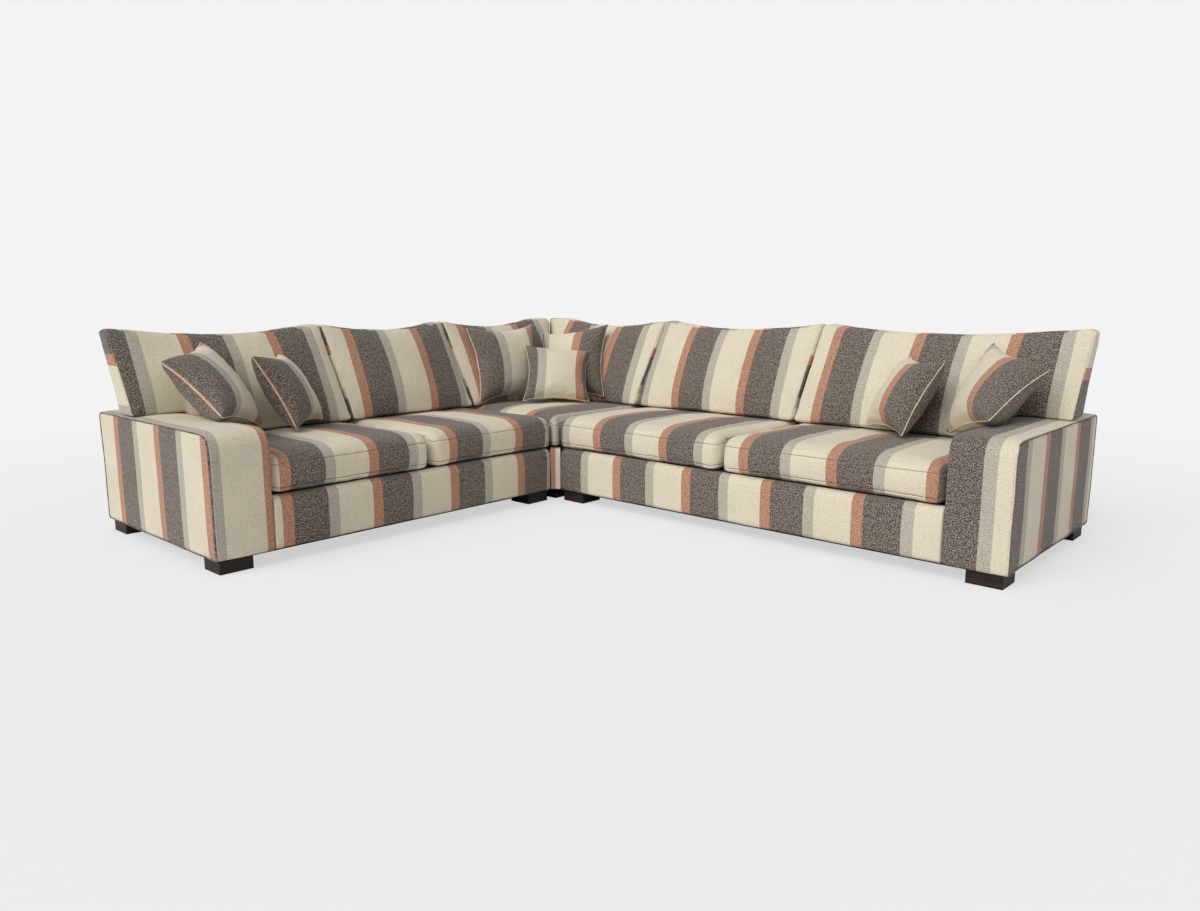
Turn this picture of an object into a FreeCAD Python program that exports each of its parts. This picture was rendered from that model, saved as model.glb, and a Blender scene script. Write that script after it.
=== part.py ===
import FreeCAD, Part
import math
import os
import Sketcher

# A corner sofa in three units, with loose cushions, built as an upholsterer builds one.
# Millimetres, +Z up. The origin is the middle of the footprint, on the floor.
# Two runs meet at the outer corner of the L: the right one goes along +X and the left
# one along -Y. A place in a run has three distances:
#   along  from the outer corner, down the run
#   out    from the run's back plane, towards the sitter
#   up     from the floor

DOC = FreeCAD.newDocument("corner_sofa")

SIZES = {
    # The whole sofa
    "right_run": 3287.0,
    "left_run": 2832.0,
    "unit_depth": 1050.0,
    "foot_height": 55.0,
    "rail_top": 268.0,
    "seat_height": 430.0,
    # Arms
    "arm_width": 238.0,
    "arm_height": 536.0,
    "arm_front_round": 74.0,
    "arm_rear_round": 25.0,
    "arm_inner_round": 12.0,
    "arm_padding": 24.0,
    "piping_radius": 3.0,
    "piping_play": 0.1,
    # Frames
    "board": 22.0,
    "frame_rail": 90.0,
    "frame_top": 237.0,
    "outer_back_padding": 35.0,
    "back_padding": 22.0,
    "back_rail": 60.0,
    "border_padding": 45.0,
    "border_round": 35.0,
    "corner_flare": 37.0,
    # Backs
    "back_depth": 283.0,
    "back_lean": 26.0,
    "frame_back_top": 735.0,
    # Webbing, cloth and fittings
    "strap_width": 50.0,
    "strap_pitch": 92.0,
    "back_strap_pitch": 184.0,
    "strap_thickness": 3.0,
    "dust_cloth": 1.5,
    "cloth_inset": 5.0,
    "plate_thickness": 3.0,
    "plate_size": 80.0,
    "plate_up": 110.0,
    "plate_out": 200.0,
    "plate_spacing": 500.0,
    # Feet and their bolts
    "foot_length": 133.0,
    "foot_width": 127.0,
    "foot_inset": 17.0,
    "foot_from_joint": 45.0,
    "bolt_radius": 4.0,
    "bolt_top": 95.0,
    "bolt_head_radius": 9.0,
    "bolt_head": 6.0,
    "bolt_recess": 9.0,
    # Seat and back cushions
    "cushion_gap": 2.0,
    "rest_gap": 0.3,
    "seat_edge_round": 36.0,
    "seat_base_round": 8.0,
    "back_cushion_depth": 145.0,
    "back_top": 898.0,
    "back_scoop": 36.0,
    "back_top_round": 38.0,
    "back_corner_round": 45.0,
    "mitre_gap": 4.0,
    # Scatter cushions
    "large_scatter": 440.0,
    "large_scatter_loft": 120.0,
    "small_scatter": 375.0,
    "small_scatter_loft": 100.0,
}


class Length:
    """A size with its value and the formula that gives it."""

    def __init__(self, value, formula):
        self.value = value
        self.formula = formula

    def _join(self, sign, other, value):
        return Length(value, "(%s %s %s)" % (self.formula, sign, length(other).formula))

    def __add__(self, other):
        return self._join("+", other, self.value + length(other).value)

    def __sub__(self, other):
        return self._join("-", other, self.value - length(other).value)

    def __mul__(self, other):
        return self._join("*", other, self.value * length(other).value)

    def __truediv__(self, other):
        return self._join("/", other, self.value / length(other).value)

    def __neg__(self):
        return Length(-self.value, "(0 - %s)" % self.formula)


def length(number):
    """Any number as a Length."""
    if isinstance(number, Length):
        return number
    return Length(float(number), repr(float(number)))


def root(size):
    return Length(math.sqrt(size.value), "sqrt(%s)" % size.formula)


def tangent(angle):
    return Length(math.tan(math.radians(angle.value)), "tan(%s)" % angle.formula)


class Sheet:
    """The driving sizes, each a Length bound to its cell."""

    def __init__(self):
        cells = DOC.addObject("Spreadsheet::Sheet", "Sizes")
        for row, (name, value) in enumerate(SIZES.items(), start=1):
            cells.set("A%d" % row, name)
            cells.set("B%d" % row, str(value))
            cells.setAlias("B%d" % row, name)
            setattr(self, name, Length(value, "Sizes." + name))


d = Sheet()
DOC.recompute()

ZERO = length(0.0)
NODES = []


def keep(piece, label):
    """Name a finished piece and list it as one of the sofa's parts."""
    piece.Label = label
    NODES.append(piece)
    return piece


def bind(item, prop, size):
    item.setExpression(prop, length(size).formula)


def place_at(item, point):
    for axis, size in zip("xyz", point):
        bind(item, "Placement.Base." + axis, size)


# Places in the two runs

OUTER_CORNER_X = -d.right_run / 2
OUTER_CORNER_Y = d.left_run / 2


def in_run(run, along, out):
    """Plan position from the outer corner, as (x, y)."""
    if run == "right":
        return along, -out
    return out, -along


def run_end(run):
    return d.right_run if run == "right" else d.left_run


def arm_inner(run):
    """Where the seat meets the arm."""
    return run_end(run) - d.arm_width


def seat_split(run):
    """Where the run's two seat cushions meet."""
    return (arm_inner(run) + d.unit_depth) / 2


def back_out(up):
    """How far out the sloping face of the back frame is, at a height."""
    return d.back_depth - (up - d.seat_height) * tangent(d.back_lean)


# Helpers that make document objects

def run_box(name, run, along, out, up):
    """A board: each argument is a pair of distances, low and high."""
    box = DOC.addObject("Part::Box", name)
    near_x, near_y = in_run(run, along[0], out[0])
    far_x, far_y = in_run(run, along[1], out[1])
    bind(box, "Length", far_x - near_x)
    bind(box, "Width", near_y - far_y)
    bind(box, "Height", up[1] - up[0])
    place_at(box, (OUTER_CORNER_X + near_x, OUTER_CORNER_Y + far_y, up[0]))
    return box


def group(name, pieces):
    joined = DOC.addObject("Part::Compound", name)
    joined.Links = pieces
    return joined


def cut(name, base, tool):
    piece = DOC.addObject("Part::Cut", name)
    piece.Base = base
    piece.Tool = tool
    return piece


def new_body(name):
    return DOC.addObject("PartDesign::Body", name)


def run_body(name, run, start, span):
    """A body whose own x is out, y is up, and z runs along the run's length.

    Its z starts at the low end of the left run's piece and at the high end of the
    right run's piece.
    """
    body = new_body(name)
    upright = FreeCAD.Rotation(FreeCAD.Vector(1, 0, 0), 90)
    if run == "left":
        body.Placement.Rotation = upright
        x, y = in_run(run, start, ZERO)
    else:
        turn = FreeCAD.Rotation(FreeCAD.Vector(0, 0, 1), -90)
        body.Placement.Rotation = turn.multiply(upright)
        x, y = in_run(run, start + span, ZERO)
    place_at(body, (OUTER_CORNER_X + x, OUTER_CORNER_Y + y, ZERO))
    return body


def own_z(run, start, span, along):
    """A distance along the run as the z of a run_body."""
    if run == "left":
        return along - start
    return start + span - along


def new_sketch(body, role, offset=None):
    """A sketch on one of the body's own origin planes."""
    sketch = body.newObject("Sketcher::SketchObject", body.Name + "_sketch")
    plane = [item for item in body.Origin.OriginFeatures if item.Role == role][0]
    sketch.AttachmentSupport = (plane, "")
    sketch.MapMode = "FlatFace"
    if offset is not None:
        bind(sketch, "AttachmentOffset.Base.z", offset)
    return sketch


def hold(sketch, kind, targets, size, name):
    """Add one dimension, bound to its size."""
    index = sketch.addConstraint(Sketcher.Constraint(kind, *targets, size.value))
    sketch.renameConstraint(index, name)
    bind(sketch, "Constraints." + name, size)


def pin_point(sketch, item, end, point):
    """Fix one end of a sketch item at a point given by two sizes."""
    hold(sketch, "DistanceX", (-1, 1, item, end), point[0], "across%d_%d" % (item, end))
    hold(sketch, "DistanceY", (-1, 1, item, end), point[1], "height%d_%d" % (item, end))


def polygon(sketch, corners):
    """A closed outline through corners given by sizes."""
    first = sketch.GeometryCount
    count = len(corners)
    points = [FreeCAD.Vector(x.value, y.value, 0) for x, y in corners]
    for index in range(count):
        following = points[(index + 1) % count]
        sketch.addGeometry(Part.LineSegment(points[index], following), False)
    for index in range(count):
        following = first + (index + 1) % count
        sketch.addConstraint(Sketcher.Constraint("Coincident", first + index, 2, following, 1))
    for index, corner in enumerate(corners):
        pin_point(sketch, first + index, 1, corner)
    return sketch


def rectangle(sketch, low, high):
    return polygon(sketch, [low, (high[0], low[1]), high, (low[0], high[1])])


def pad(body, sketch, size):
    feature = body.newObject("PartDesign::Pad", body.Name + "_pad")
    feature.Profile = sketch
    bind(feature, "Length", size)
    DOC.recompute()
    return feature


def pocket_through(body, sketch):
    feature = body.newObject("PartDesign::Pocket", body.Name + "_pocket")
    feature.Profile = sketch
    feature.Type = "ThroughAll"
    feature.Midplane = True
    DOC.recompute()
    return feature


def pocket_up(body, sketch, size):
    """A pocket that goes the way the sketch faces."""
    feature = body.newObject("PartDesign::Pocket", body.Name + "_pocket")
    feature.Profile = sketch
    feature.Reversed = True
    bind(feature, "Length", size)
    DOC.recompute()
    return feature


def edge_names(feature, test):
    """The names of the edges whose box passes the test."""
    names = []
    for index, edge in enumerate(feature.Shape.Edges, start=1):
        if test(edge.BoundBox):
            names.append("Edge%d" % index)
    return names


def dress(body, kind, base, test, prop, size):
    """A fillet or chamfer on the edges that pass the test."""
    feature = body.newObject("PartDesign::" + kind, body.Name + "_" + kind.lower())
    feature.Base = (base, edge_names(base, test))
    bind(feature, prop, size)
    DOC.recompute()
    return feature


# Two edges no further apart than this are in one place
SAME_PLACE = 0.01


def near(value, target):
    return abs(value - target) < SAME_PLACE


def at_height(height):
    """A test for edges that lie flat at one z."""
    def test(box):
        return near(box.ZMin, height.value) and near(box.ZMax, height.value)
    return test


def upright_at(x, y):
    """A test for edges along the body's z, at one place in its plan."""
    def test(box):
        flat = near(box.XMin, box.XMax) and near(box.YMin, box.YMax)
        return flat and near(box.XMin, x.value) and near(box.YMin, y.value)
    return test


# Feet and the bolts that hold them

def foot_places(run):
    """Named feet of an arm unit, each as the middle of its foot, (along, out)."""
    outer = run_end(run) - d.foot_inset - d.foot_length / 2
    inner = d.unit_depth + d.foot_from_joint + d.foot_length / 2
    front = d.unit_depth - d.foot_inset - d.foot_width / 2
    rear = d.foot_inset + d.foot_width / 2
    return {
        "foot_front_outer": (outer, front),
        "foot_front_inner": (inner, front),
        "foot_rear_outer": (outer, rear),
        "foot_rear_inner": (inner, rear),
    }


def corner_foot_places():
    far = d.unit_depth - d.foot_inset - d.foot_width / 2
    close = d.foot_inset + d.foot_width / 2
    return {
        "foot_outer_corner": (close, close),
        "foot_inner_corner": (far, far),
        "foot_left_joint": (close, far),
        "foot_right_joint": (far, close),
    }


def upright_rod(name, run, spot, radius, low, high):
    rod = DOC.addObject("Part::Cylinder", name)
    bind(rod, "Radius", radius)
    bind(rod, "Height", high - low)
    x, y = in_run(run, spot[0], spot[1])
    place_at(rod, (OUTER_CORNER_X + x, OUTER_CORNER_Y + y, low))
    return rod


def make_bolts():
    """One bolt up through each foot, and the holes that they need."""
    spots = [("left", spot) for spot in foot_places("left").values()]
    spots += [("right", spot) for spot in foot_places("right").values()]
    spots += [("right", spot) for spot in corner_foot_places().values()]
    bolts = []
    holes = []
    shoulder = d.bolt_recess
    for index, (run, spot) in enumerate(spots):
        tag = "%s_%d" % (run, index)
        shank = upright_rod("shank_" + tag, run, spot, d.bolt_radius, shoulder, d.bolt_top)
        head = upright_rod("head_" + tag, run, spot, d.bolt_head_radius,
                           shoulder - d.bolt_head, shoulder)
        bolt = DOC.addObject("Part::Fuse", "bolt_" + tag)
        bolt.Base = shank
        bolt.Tool = head
        bolts.append(bolt)
        holes.append(shank)
        holes.append(upright_rod("recess_" + tag, run, spot, d.bolt_head_radius, ZERO, shoulder))
    keep(group("foot_bolts", bolts), "foot_bolts")
    return group("bolt_holes", holes)


def make_foot(name, run, spot, long_side, holes):
    along = (spot[0] - long_side / 2, spot[0] + long_side / 2)
    out = (spot[1] - d.foot_width / 2, spot[1] + d.foot_width / 2)
    block = run_box(name + "_block", run, along, out, (ZERO, d.foot_height - d.dust_cloth))
    keep(cut(name, block, holes), name)


def make_feet(holes):
    for run in ("left", "right"):
        for name, spot in foot_places(run).items():
            make_foot(run + "_" + name, run, spot, d.foot_length, holes)
    for name, spot in corner_foot_places().items():
        make_foot("corner_" + name, "right", spot, d.foot_width, holes)


# The arms

def make_arm_cover(run):
    """Padding and cloth over the arm: a box open below, rounded at its top front."""
    name = run + "_arm_cover"
    start = arm_inner(run)
    body = run_body(name, run, start, d.arm_width)
    outer = own_z(run, start, d.arm_width, run_end(run))
    inner = own_z(run, start, d.arm_width, start)
    outline = rectangle(new_sketch(body, "XY_Plane"),
                        (ZERO, d.foot_height), (d.unit_depth, d.arm_height))
    shape = pad(body, outline, d.arm_width)
    shape = dress(body, "Fillet", shape, upright_at(d.unit_depth, d.arm_height),
                  "Radius", d.arm_front_round)
    shape = dress(body, "Fillet", shape, upright_at(ZERO, d.arm_height),
                  "Radius", d.arm_rear_round)

    def on_side(side):
        def test(box):
            return at_height(side)(box) and not near(box.YMax, d.foot_height.value)
        return test

    # The seat's slope passes the piping at its play, and the piping ends flush outside
    seat = d.piping_radius * 2 + (d.piping_radius + d.piping_play) * root(length(2))
    shape = dress(body, "Chamfer", shape, on_side(outer), "Size", seat)
    shape = dress(body, "Fillet", shape, on_side(inner), "Radius", d.arm_inner_round)
    hollow = rectangle(new_sketch(body, "XY_Plane", d.arm_padding),
                       (d.arm_padding, d.foot_height - d.arm_padding),
                       (d.unit_depth - d.arm_padding, d.arm_height - d.arm_padding))
    pocket_up(body, hollow, d.arm_width - d.arm_padding * 2)
    keep(body, name)


def make_arm_frame(run, holes):
    """A ring of boards that fills the arm's padding."""
    name = run + "_arm_frame"
    span = d.arm_width - d.arm_padding * 2
    body = run_body(name + "_boards", run, arm_inner(run) + d.arm_padding, span)
    outline = new_sketch(body, "XY_Plane")
    low = (d.arm_padding, d.foot_height)
    high = (d.unit_depth - d.arm_padding, d.arm_height - d.arm_padding)
    rectangle(outline, low, high)
    rectangle(outline, (low[0] + d.board, low[1] + d.board),
              (high[0] - d.board, high[1] - d.board))
    pad(body, outline, span)
    keep(cut(name, body, holes), name)


def make_arm_piping(run):
    """A corded edge round the outside panel of the arm, in the seat cut for it."""
    name = run + "_arm_piping"
    start = arm_inner(run)
    body = run_body(name, run, start, d.arm_width)
    outer = own_z(run, start, d.arm_width, run_end(run))
    inward = d.piping_radius if run == "right" else -d.piping_radius
    level = outer + inward
    front = d.unit_depth - d.piping_radius
    rear = d.piping_radius
    top = d.arm_height - d.piping_radius
    low = d.foot_height + d.piping_radius
    bend_front = d.arm_front_round - d.piping_radius
    bend_rear = d.arm_rear_round - d.piping_radius
    path = new_sketch(body, "XY_Plane", level)

    def point(x, y):
        return FreeCAD.Vector(x.value, y.value, 0)

    def bend(middle, radius, begin, end):
        circle = Part.Circle(point(*middle), FreeCAD.Vector(0, 0, 1), radius.value)
        return Part.ArcOfCircle(circle, math.radians(begin), math.radians(end))

    front_line, front_bend, top_line, rear_bend, rear_line = path.addGeometry([
        Part.LineSegment(point(front, low), point(front, top - bend_front)),
        bend((front - bend_front, top - bend_front), bend_front, 0, 90),
        Part.LineSegment(point(front - bend_front, top), point(rear + bend_rear, top)),
        bend((rear + bend_rear, top - bend_rear), bend_rear, 90, 180),
        Part.LineSegment(point(rear, top - bend_rear), point(rear, low)),
    ], False)
    for index in range(front_line, rear_line):
        path.addConstraint(Sketcher.Constraint("Coincident", index, 2, index + 1, 1))
    pin_point(path, front_line, 1, (front, low))
    pin_point(path, front_line, 2, (front, top - bend_front))
    pin_point(path, top_line, 1, (front - bend_front, top))
    pin_point(path, top_line, 2, (rear + bend_rear, top))
    pin_point(path, rear_line, 1, (rear, top - bend_rear))
    pin_point(path, rear_line, 2, (rear, low))
    hold(path, "Radius", (front_bend,), bend_front, "bend_front")
    hold(path, "Radius", (rear_bend,), bend_rear, "bend_rear")
    section = new_sketch(body, "XZ_Plane", -low)
    round_section = Part.Circle(point(front, level), FreeCAD.Vector(0, 0, 1),
                                d.piping_radius.value)
    section.addGeometry(round_section, False)
    hold(section, "Radius", (0,), d.piping_radius, "thickness")
    pin_point(section, 0, 3, (front, level))
    DOC.recompute()
    cord = body.newObject("PartDesign::AdditivePipe", name + "_pipe")
    cord.Profile = section
    cord.Spine = path
    DOC.recompute()
    keep(body, name)


# Base frames, webbing, decks and the cloth below

def frame_front():
    return d.unit_depth - d.border_padding


def make_base_frame(run, holes):
    """Rails all round the unit's seat, with a cross rail in the middle."""
    name = run + "_base_frame"
    along = (d.unit_depth + d.plate_thickness, arm_inner(run))
    out = (d.outer_back_padding, frame_front())
    up = (d.foot_height, d.frame_top)
    middle = (along[0] + along[1]) / 2
    inner_out = (out[0] + d.frame_rail, out[1] - d.frame_rail)
    rails = run_box(name + "_rails", run, along, out, up)
    bays = [
        run_box(name + "_bay_a", run, (along[0] + d.frame_rail, middle - d.board), inner_out, up),
        run_box(name + "_bay_b", run, (middle + d.board, along[1] - d.frame_rail), inner_out, up),
    ]
    framed = cut(name + "_framed", rails, group(name + "_bays", bays))
    keep(cut(name, framed, holes), name)


def corner_square(name, low, high, up):
    """A square of the corner unit, less the corner that the post fills."""
    square = run_box(name + "_square", "right", (low, high), (low, high), up)
    notch_span = (frame_front(), d.unit_depth + d.border_padding)
    notch = run_box(name + "_notch", "right", notch_span, notch_span, up)
    return cut(name, square, notch)


def make_corner_base_frame(holes):
    name = "corner_base_frame"
    up = (d.foot_height, d.frame_top)
    low = d.outer_back_padding
    high = d.unit_depth - d.plate_thickness
    square = corner_square(name + "_notched", low, high, up)
    bay_span = (low + d.frame_rail, high - d.frame_rail)
    bay = run_box(name + "_bay", "right", bay_span, bay_span, up)
    framed = cut(name + "_framed", square, bay)
    keep(cut(name, framed, holes), name)


def make_decks():
    up = (d.frame_top + d.strap_thickness, d.rail_top)
    for run in ("left", "right"):
        name = run + "_deck"
        deck = run_box(name, run, (d.unit_depth, arm_inner(run)),
                       (d.outer_back_padding, frame_front()), up)
        keep(deck, name)
    keep(corner_square("corner_deck", d.outer_back_padding, d.unit_depth, up), "corner_deck")


def make_dust_covers(holes):
    up = (d.foot_height - d.dust_cloth, d.foot_height)
    for run in ("left", "right"):
        name = run + "_dust_cover"
        cloth = run_box(name + "_cloth", run,
                        (d.unit_depth + d.cushion_gap, run_end(run) - d.cloth_inset),
                        (d.cloth_inset, d.unit_depth - d.cloth_inset), up)
        keep(cut(name, cloth, holes), name)
    span = (d.cloth_inset, d.unit_depth)
    cloth = run_box("corner_dust_cover_cloth", "right", span, span, up)
    keep(cut("corner_dust_cover", cloth, holes), "corner_dust_cover")


def strap_count(first, last, pitch):
    """How many straps fit between two places, at least one."""
    return max(1, int((last.value - first.value) // pitch.value))


def strap_row(name, run, first, last, out, up):
    """Flat straps from front rail to rear rail, one pitch apart."""
    straps = []
    for index in range(strap_count(first, last, d.strap_pitch)):
        low = first + d.strap_pitch * index
        straps.append(run_box("%s_%d" % (name, index), run, (low, low + d.strap_width), out, up))
    return straps


def make_seat_webbing():
    up = (d.frame_top, d.frame_top + d.strap_thickness)
    out = (d.outer_back_padding, frame_front())
    straps = []
    for run in ("left", "right"):
        first = d.unit_depth + d.frame_rail
        straps += strap_row(run + "_seat_strap", run, first, arm_inner(run) - d.frame_rail, out, up)
    first = d.outer_back_padding + d.frame_rail
    last = frame_front() - d.frame_rail
    straps += strap_row("corner_seat_strap", "right", first, last, out, up)
    keep(group("seat_webbing", straps), "seat_webbing")


def make_border(run):
    """The padded front below the seat cushions."""
    name = run + "_front_border"
    start = d.unit_depth + d.corner_flare
    span = arm_inner(run) - start
    body = run_body(name, run, start, span)
    outline = rectangle(new_sketch(body, "XY_Plane"),
                        (frame_front(), d.foot_height), (d.unit_depth, d.rail_top))
    shape = pad(body, outline, span)
    dress(body, "Fillet", shape, upright_at(d.unit_depth, d.rail_top), "Radius", d.border_round)
    keep(body, name)


def make_corner_post():
    """The padded strip that joins the two borders in the inner corner."""
    name = "corner_front_post"
    body = new_body(name)
    place_at(body, (OUTER_CORNER_X, OUTER_CORNER_Y, d.foot_height))
    back = frame_front()
    front = d.unit_depth
    tip = d.unit_depth + d.corner_flare
    spots = [(back, back), (tip, back), (tip, front), (front, tip), (back, tip)]
    corners = [in_run("right", along, out) for along, out in spots]
    outline = polygon(new_sketch(body, "XY_Plane"), corners)
    pad(body, outline, d.rail_top - d.foot_height)
    keep(body, name)


def make_connectors():
    """Pairs of steel plates that hook the units together at each joint."""
    plates = []
    up = (d.plate_up, d.plate_up + d.plate_size)
    for run in ("left", "right"):
        for row, low in enumerate((d.plate_out, d.plate_out + d.plate_spacing)):
            out = (low, low + d.plate_size)
            sides = {
                "fixed": (d.unit_depth - d.plate_thickness, d.unit_depth),
                "hooked": (d.unit_depth, d.unit_depth + d.plate_thickness),
            }
            for side, along in sides.items():
                plates.append(run_box("%s_plate_%s_%d" % (run, side, row), run, along, out, up))
    keep(group("unit_connectors", plates), "unit_connectors")


# The backs

def mitre(body, run, start, span, gap):
    """Trim the corner end of a piece at 45 degrees."""
    reach = d.unit_depth / 2
    past = d.back_depth
    slant = [(-past - gap, -past), (reach, reach + gap), (reach, -past)]
    corners = [(out, own_z(run, start, span, along)) for out, along in slant]
    return pocket_through(body, polygon(new_sketch(body, "XZ_Plane"), corners))


def back_spans():
    """Each stretch of back: its run, where it starts, its length and its name."""
    spans = []
    for run in ("left", "right"):
        spans.append((run + "_back", run, d.unit_depth, arm_inner(run) - d.unit_depth, False))
        spans.append(("corner_%s_back" % run, run, ZERO, d.unit_depth, True))
    return spans


def cavity_corners():
    """The hollow of the back, which its frame fills."""
    low = d.rail_top
    high = d.frame_back_top - d.back_padding
    front = d.back_depth - d.back_padding
    return [
        (d.back_padding, low),
        (front, low),
        (front, d.seat_height),
        (back_out(high) - d.back_padding, high),
        (d.back_padding, high),
    ]


def make_back_cover(name, run, start, span, mitred):
    """Padding and cloth over the back: upright to the seat's height, then leaning."""
    body = run_body(name + "_cover", run, start, span)
    corners = [
        (ZERO, d.foot_height),
        (d.outer_back_padding, d.foot_height),
        (d.outer_back_padding, d.rail_top),
        (d.back_depth, d.rail_top),
        (d.back_depth, d.seat_height),
        (back_out(d.frame_back_top), d.frame_back_top),
        (ZERO, d.frame_back_top),
    ]
    pad(body, polygon(new_sketch(body, "XY_Plane"), corners), span)
    pocket_through(body, polygon(new_sketch(body, "XY_Plane"), cavity_corners()))
    if mitred:
        mitre(body, run, start, span, ZERO)
    keep(body, name + "_cover")


def window_height():
    """The open height between the rails of a back frame, low and high."""
    low = d.rail_top + d.back_rail
    return low, d.frame_back_top - d.back_padding - d.back_rail


def window_spans(start, span, mitred):
    """The open bays of a back frame between its cheeks."""
    last = start + span - d.board
    if mitred:
        return [(start + d.back_depth + d.board, last)]
    middle = start + span / 2
    return [(start + d.board, middle - d.board / 2), (middle + d.board / 2, last)]


def make_back_frame(name, run, start, span, mitred):
    """Cheeks and rails inside the back's padding."""
    body = run_body(name + "_frame", run, start, span)
    pad(body, polygon(new_sketch(body, "XY_Plane"), cavity_corners()), span)
    low, high = window_height()
    for begin, end in window_spans(start, span, mitred):
        spots = [own_z(run, start, span, begin), own_z(run, start, span, end)]
        spots.sort(key=lambda size: size.value)
        window = rectangle(new_sketch(body, "YZ_Plane"), (low, spots[0]), (high, spots[1]))
        pocket_through(body, window)
    if mitred:
        mitre(body, run, start, span, ZERO)
    return body


def make_back_straps(name, run, start, span, mitred):
    """Straps between the rails of a back frame, along its slope."""
    low, high = window_height()
    inset = d.back_padding + d.strap_thickness * 2
    front = [(d.back_depth, low), (d.back_depth, d.seat_height), (back_out(high), high)]
    corners = [(out - inset, up) for out, up in front]
    corners += [(out - inset + d.strap_thickness, up) for out, up in reversed(front)]
    straps = []
    for begin, end in window_spans(start, span, mitred):
        count = strap_count(begin, end, d.back_strap_pitch)
        pitch = (end - begin) / count
        for index in range(count):
            middle = begin + pitch * index + pitch / 2
            body = run_body("%s_strap_%d" % (name, len(straps)), run,
                            middle - d.strap_width / 2, d.strap_width)
            pad(body, polygon(new_sketch(body, "XY_Plane"), corners), d.strap_width)
            straps.append(body)
    return straps


def make_backs():
    straps = []
    corner_frames = []
    for name, run, start, span, mitred in back_spans():
        make_back_cover(name, run, start, span, mitred)
        frame = make_back_frame(name, run, start, span, mitred)
        if mitred:
            corner_frames.append(frame)
        else:
            keep(frame, name + "_frame")
        straps += make_back_straps(name, run, start, span, mitred)
    joined = DOC.addObject("Part::Fuse", "corner_back_frame")
    joined.Base, joined.Tool = corner_frames
    keep(joined, "corner_back_frame")
    keep(group("back_webbing", straps), "back_webbing")


# Seat cushions

def make_seat(name, run, along, out, bevelled):
    """A boxed cushion with soft top edges; one corner is bevelled beside the post."""
    body = new_body(name)
    base = d.rail_top + d.rest_gap
    place_at(body, (OUTER_CORNER_X, OUTER_CORNER_Y, base))
    near_along, far_along = along
    rear, front = out
    spots = [(near_along, rear), (far_along, rear), (far_along, front), (near_along, front)]
    if bevelled:
        spots[3:] = [(near_along + d.corner_flare, front), (near_along, front - d.corner_flare)]
    corners = [in_run(run, *spot) for spot in spots]
    height = d.seat_height - base
    shape = pad(body, polygon(new_sketch(body, "XY_Plane"), corners), height)
    shape = dress(body, "Fillet", shape, at_height(height), "Radius", d.seat_edge_round)
    dress(body, "Fillet", shape, at_height(ZERO), "Radius", d.seat_base_round)
    keep(body, name)


def make_seats():
    rear = d.back_depth + d.rest_gap
    half_gap = d.cushion_gap / 2
    for run in ("left", "right"):
        split = seat_split(run)
        out = (rear, d.unit_depth)
        make_seat(run + "_seat_cushion_inner", run,
                  (d.unit_depth + half_gap, split - half_gap), out, True)
        make_seat(run + "_seat_cushion_outer", run,
                  (split + half_gap, arm_inner(run) - half_gap), out, False)
    span = (rear, d.unit_depth - half_gap)
    make_seat("corner_seat_cushion", "right", span, span, False)


# Back cushions

def make_back_cushion(name, run, along, notched=False, mitred=False):
    """A leaning cushion with a scooped top; an end one is notched over the arm."""
    start, end = along
    span = end - start
    body = run_body(name, run, start, span)
    low = d.seat_height + d.rest_gap
    high = d.back_top
    rear_low = back_out(low) + d.rest_gap
    rear_high = back_out(high) + d.rest_gap
    corners = [
        (rear_low, low),
        (rear_low + d.back_cushion_depth, low),
        (rear_high + d.back_cushion_depth, high),
        (rear_high, high),
    ]
    pad(body, polygon(new_sketch(body, "XY_Plane"), corners), span)
    if mitred:
        mitre(body, run, start, span, d.mitre_gap / 2)
    scoop_start = start + back_out(high) if mitred else start
    chord = end - scoop_start
    radius = (chord * chord / 4 + d.back_scoop * d.back_scoop) / (d.back_scoop * 2)
    middle = own_z(run, start, span, scoop_start + chord / 2)
    arch = new_sketch(body, "YZ_Plane")
    level = high - d.back_scoop + radius
    circle = Part.Circle(FreeCAD.Vector(level.value, middle.value, 0),
                         FreeCAD.Vector(0, 0, 1), radius.value)
    arch.addGeometry(circle, False)
    hold(arch, "Radius", (0,), radius, "scoop_radius")
    pin_point(arch, 0, 3, (level, middle))
    shape = pocket_through(body, arch)
    if notched:
        spots = [own_z(run, start, span, arm_inner(run) - d.cushion_gap / 2),
                 own_z(run, start, span, end + d.arm_width)]
        spots.sort(key=lambda size: size.value)
        notch = rectangle(new_sketch(body, "YZ_Plane"), (low - d.arm_padding, spots[0]),
                          (d.arm_height + d.rest_gap, spots[1]))
        shape = pocket_through(body, notch)

    def at_top(box):
        return near(box.YMin, high.value) and near(box.YMax, high.value)

    def top_corner(box):
        return at_top(box) and near(box.ZMin, box.ZMax)

    def top_edge(box):
        reaches_top = box.YMax > high.value - d.back_scoop.value * 2
        return reaches_top and box.XLength < d.back_cushion_depth.value / 2

    shape = dress(body, "Fillet", shape, top_corner, "Radius", d.back_corner_round)
    dress(body, "Fillet", shape, top_edge, "Radius", d.back_top_round)
    keep(body, name)


def make_back_cushions():
    half_gap = d.cushion_gap / 2
    for run in ("left", "right"):
        split = seat_split(run)
        make_back_cushion("corner_back_cushion_" + run, run,
                          (ZERO, d.unit_depth - half_gap), mitred=True)
        make_back_cushion(run + "_back_cushion_inner", run,
                          (d.unit_depth + half_gap, split - half_gap))
        make_back_cushion(run + "_back_cushion_outer", run,
                          (split + half_gap, run_end(run)), notched=True)


# Scatter cushions, square and thin at the seam

# Each section's height and width, as shares of the cushion's loft and width
SECTIONS = [(-0.5, 0.42), (-0.36, 0.76), (0.0, 1.0), (0.36, 0.76), (0.5, 0.42)]

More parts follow.
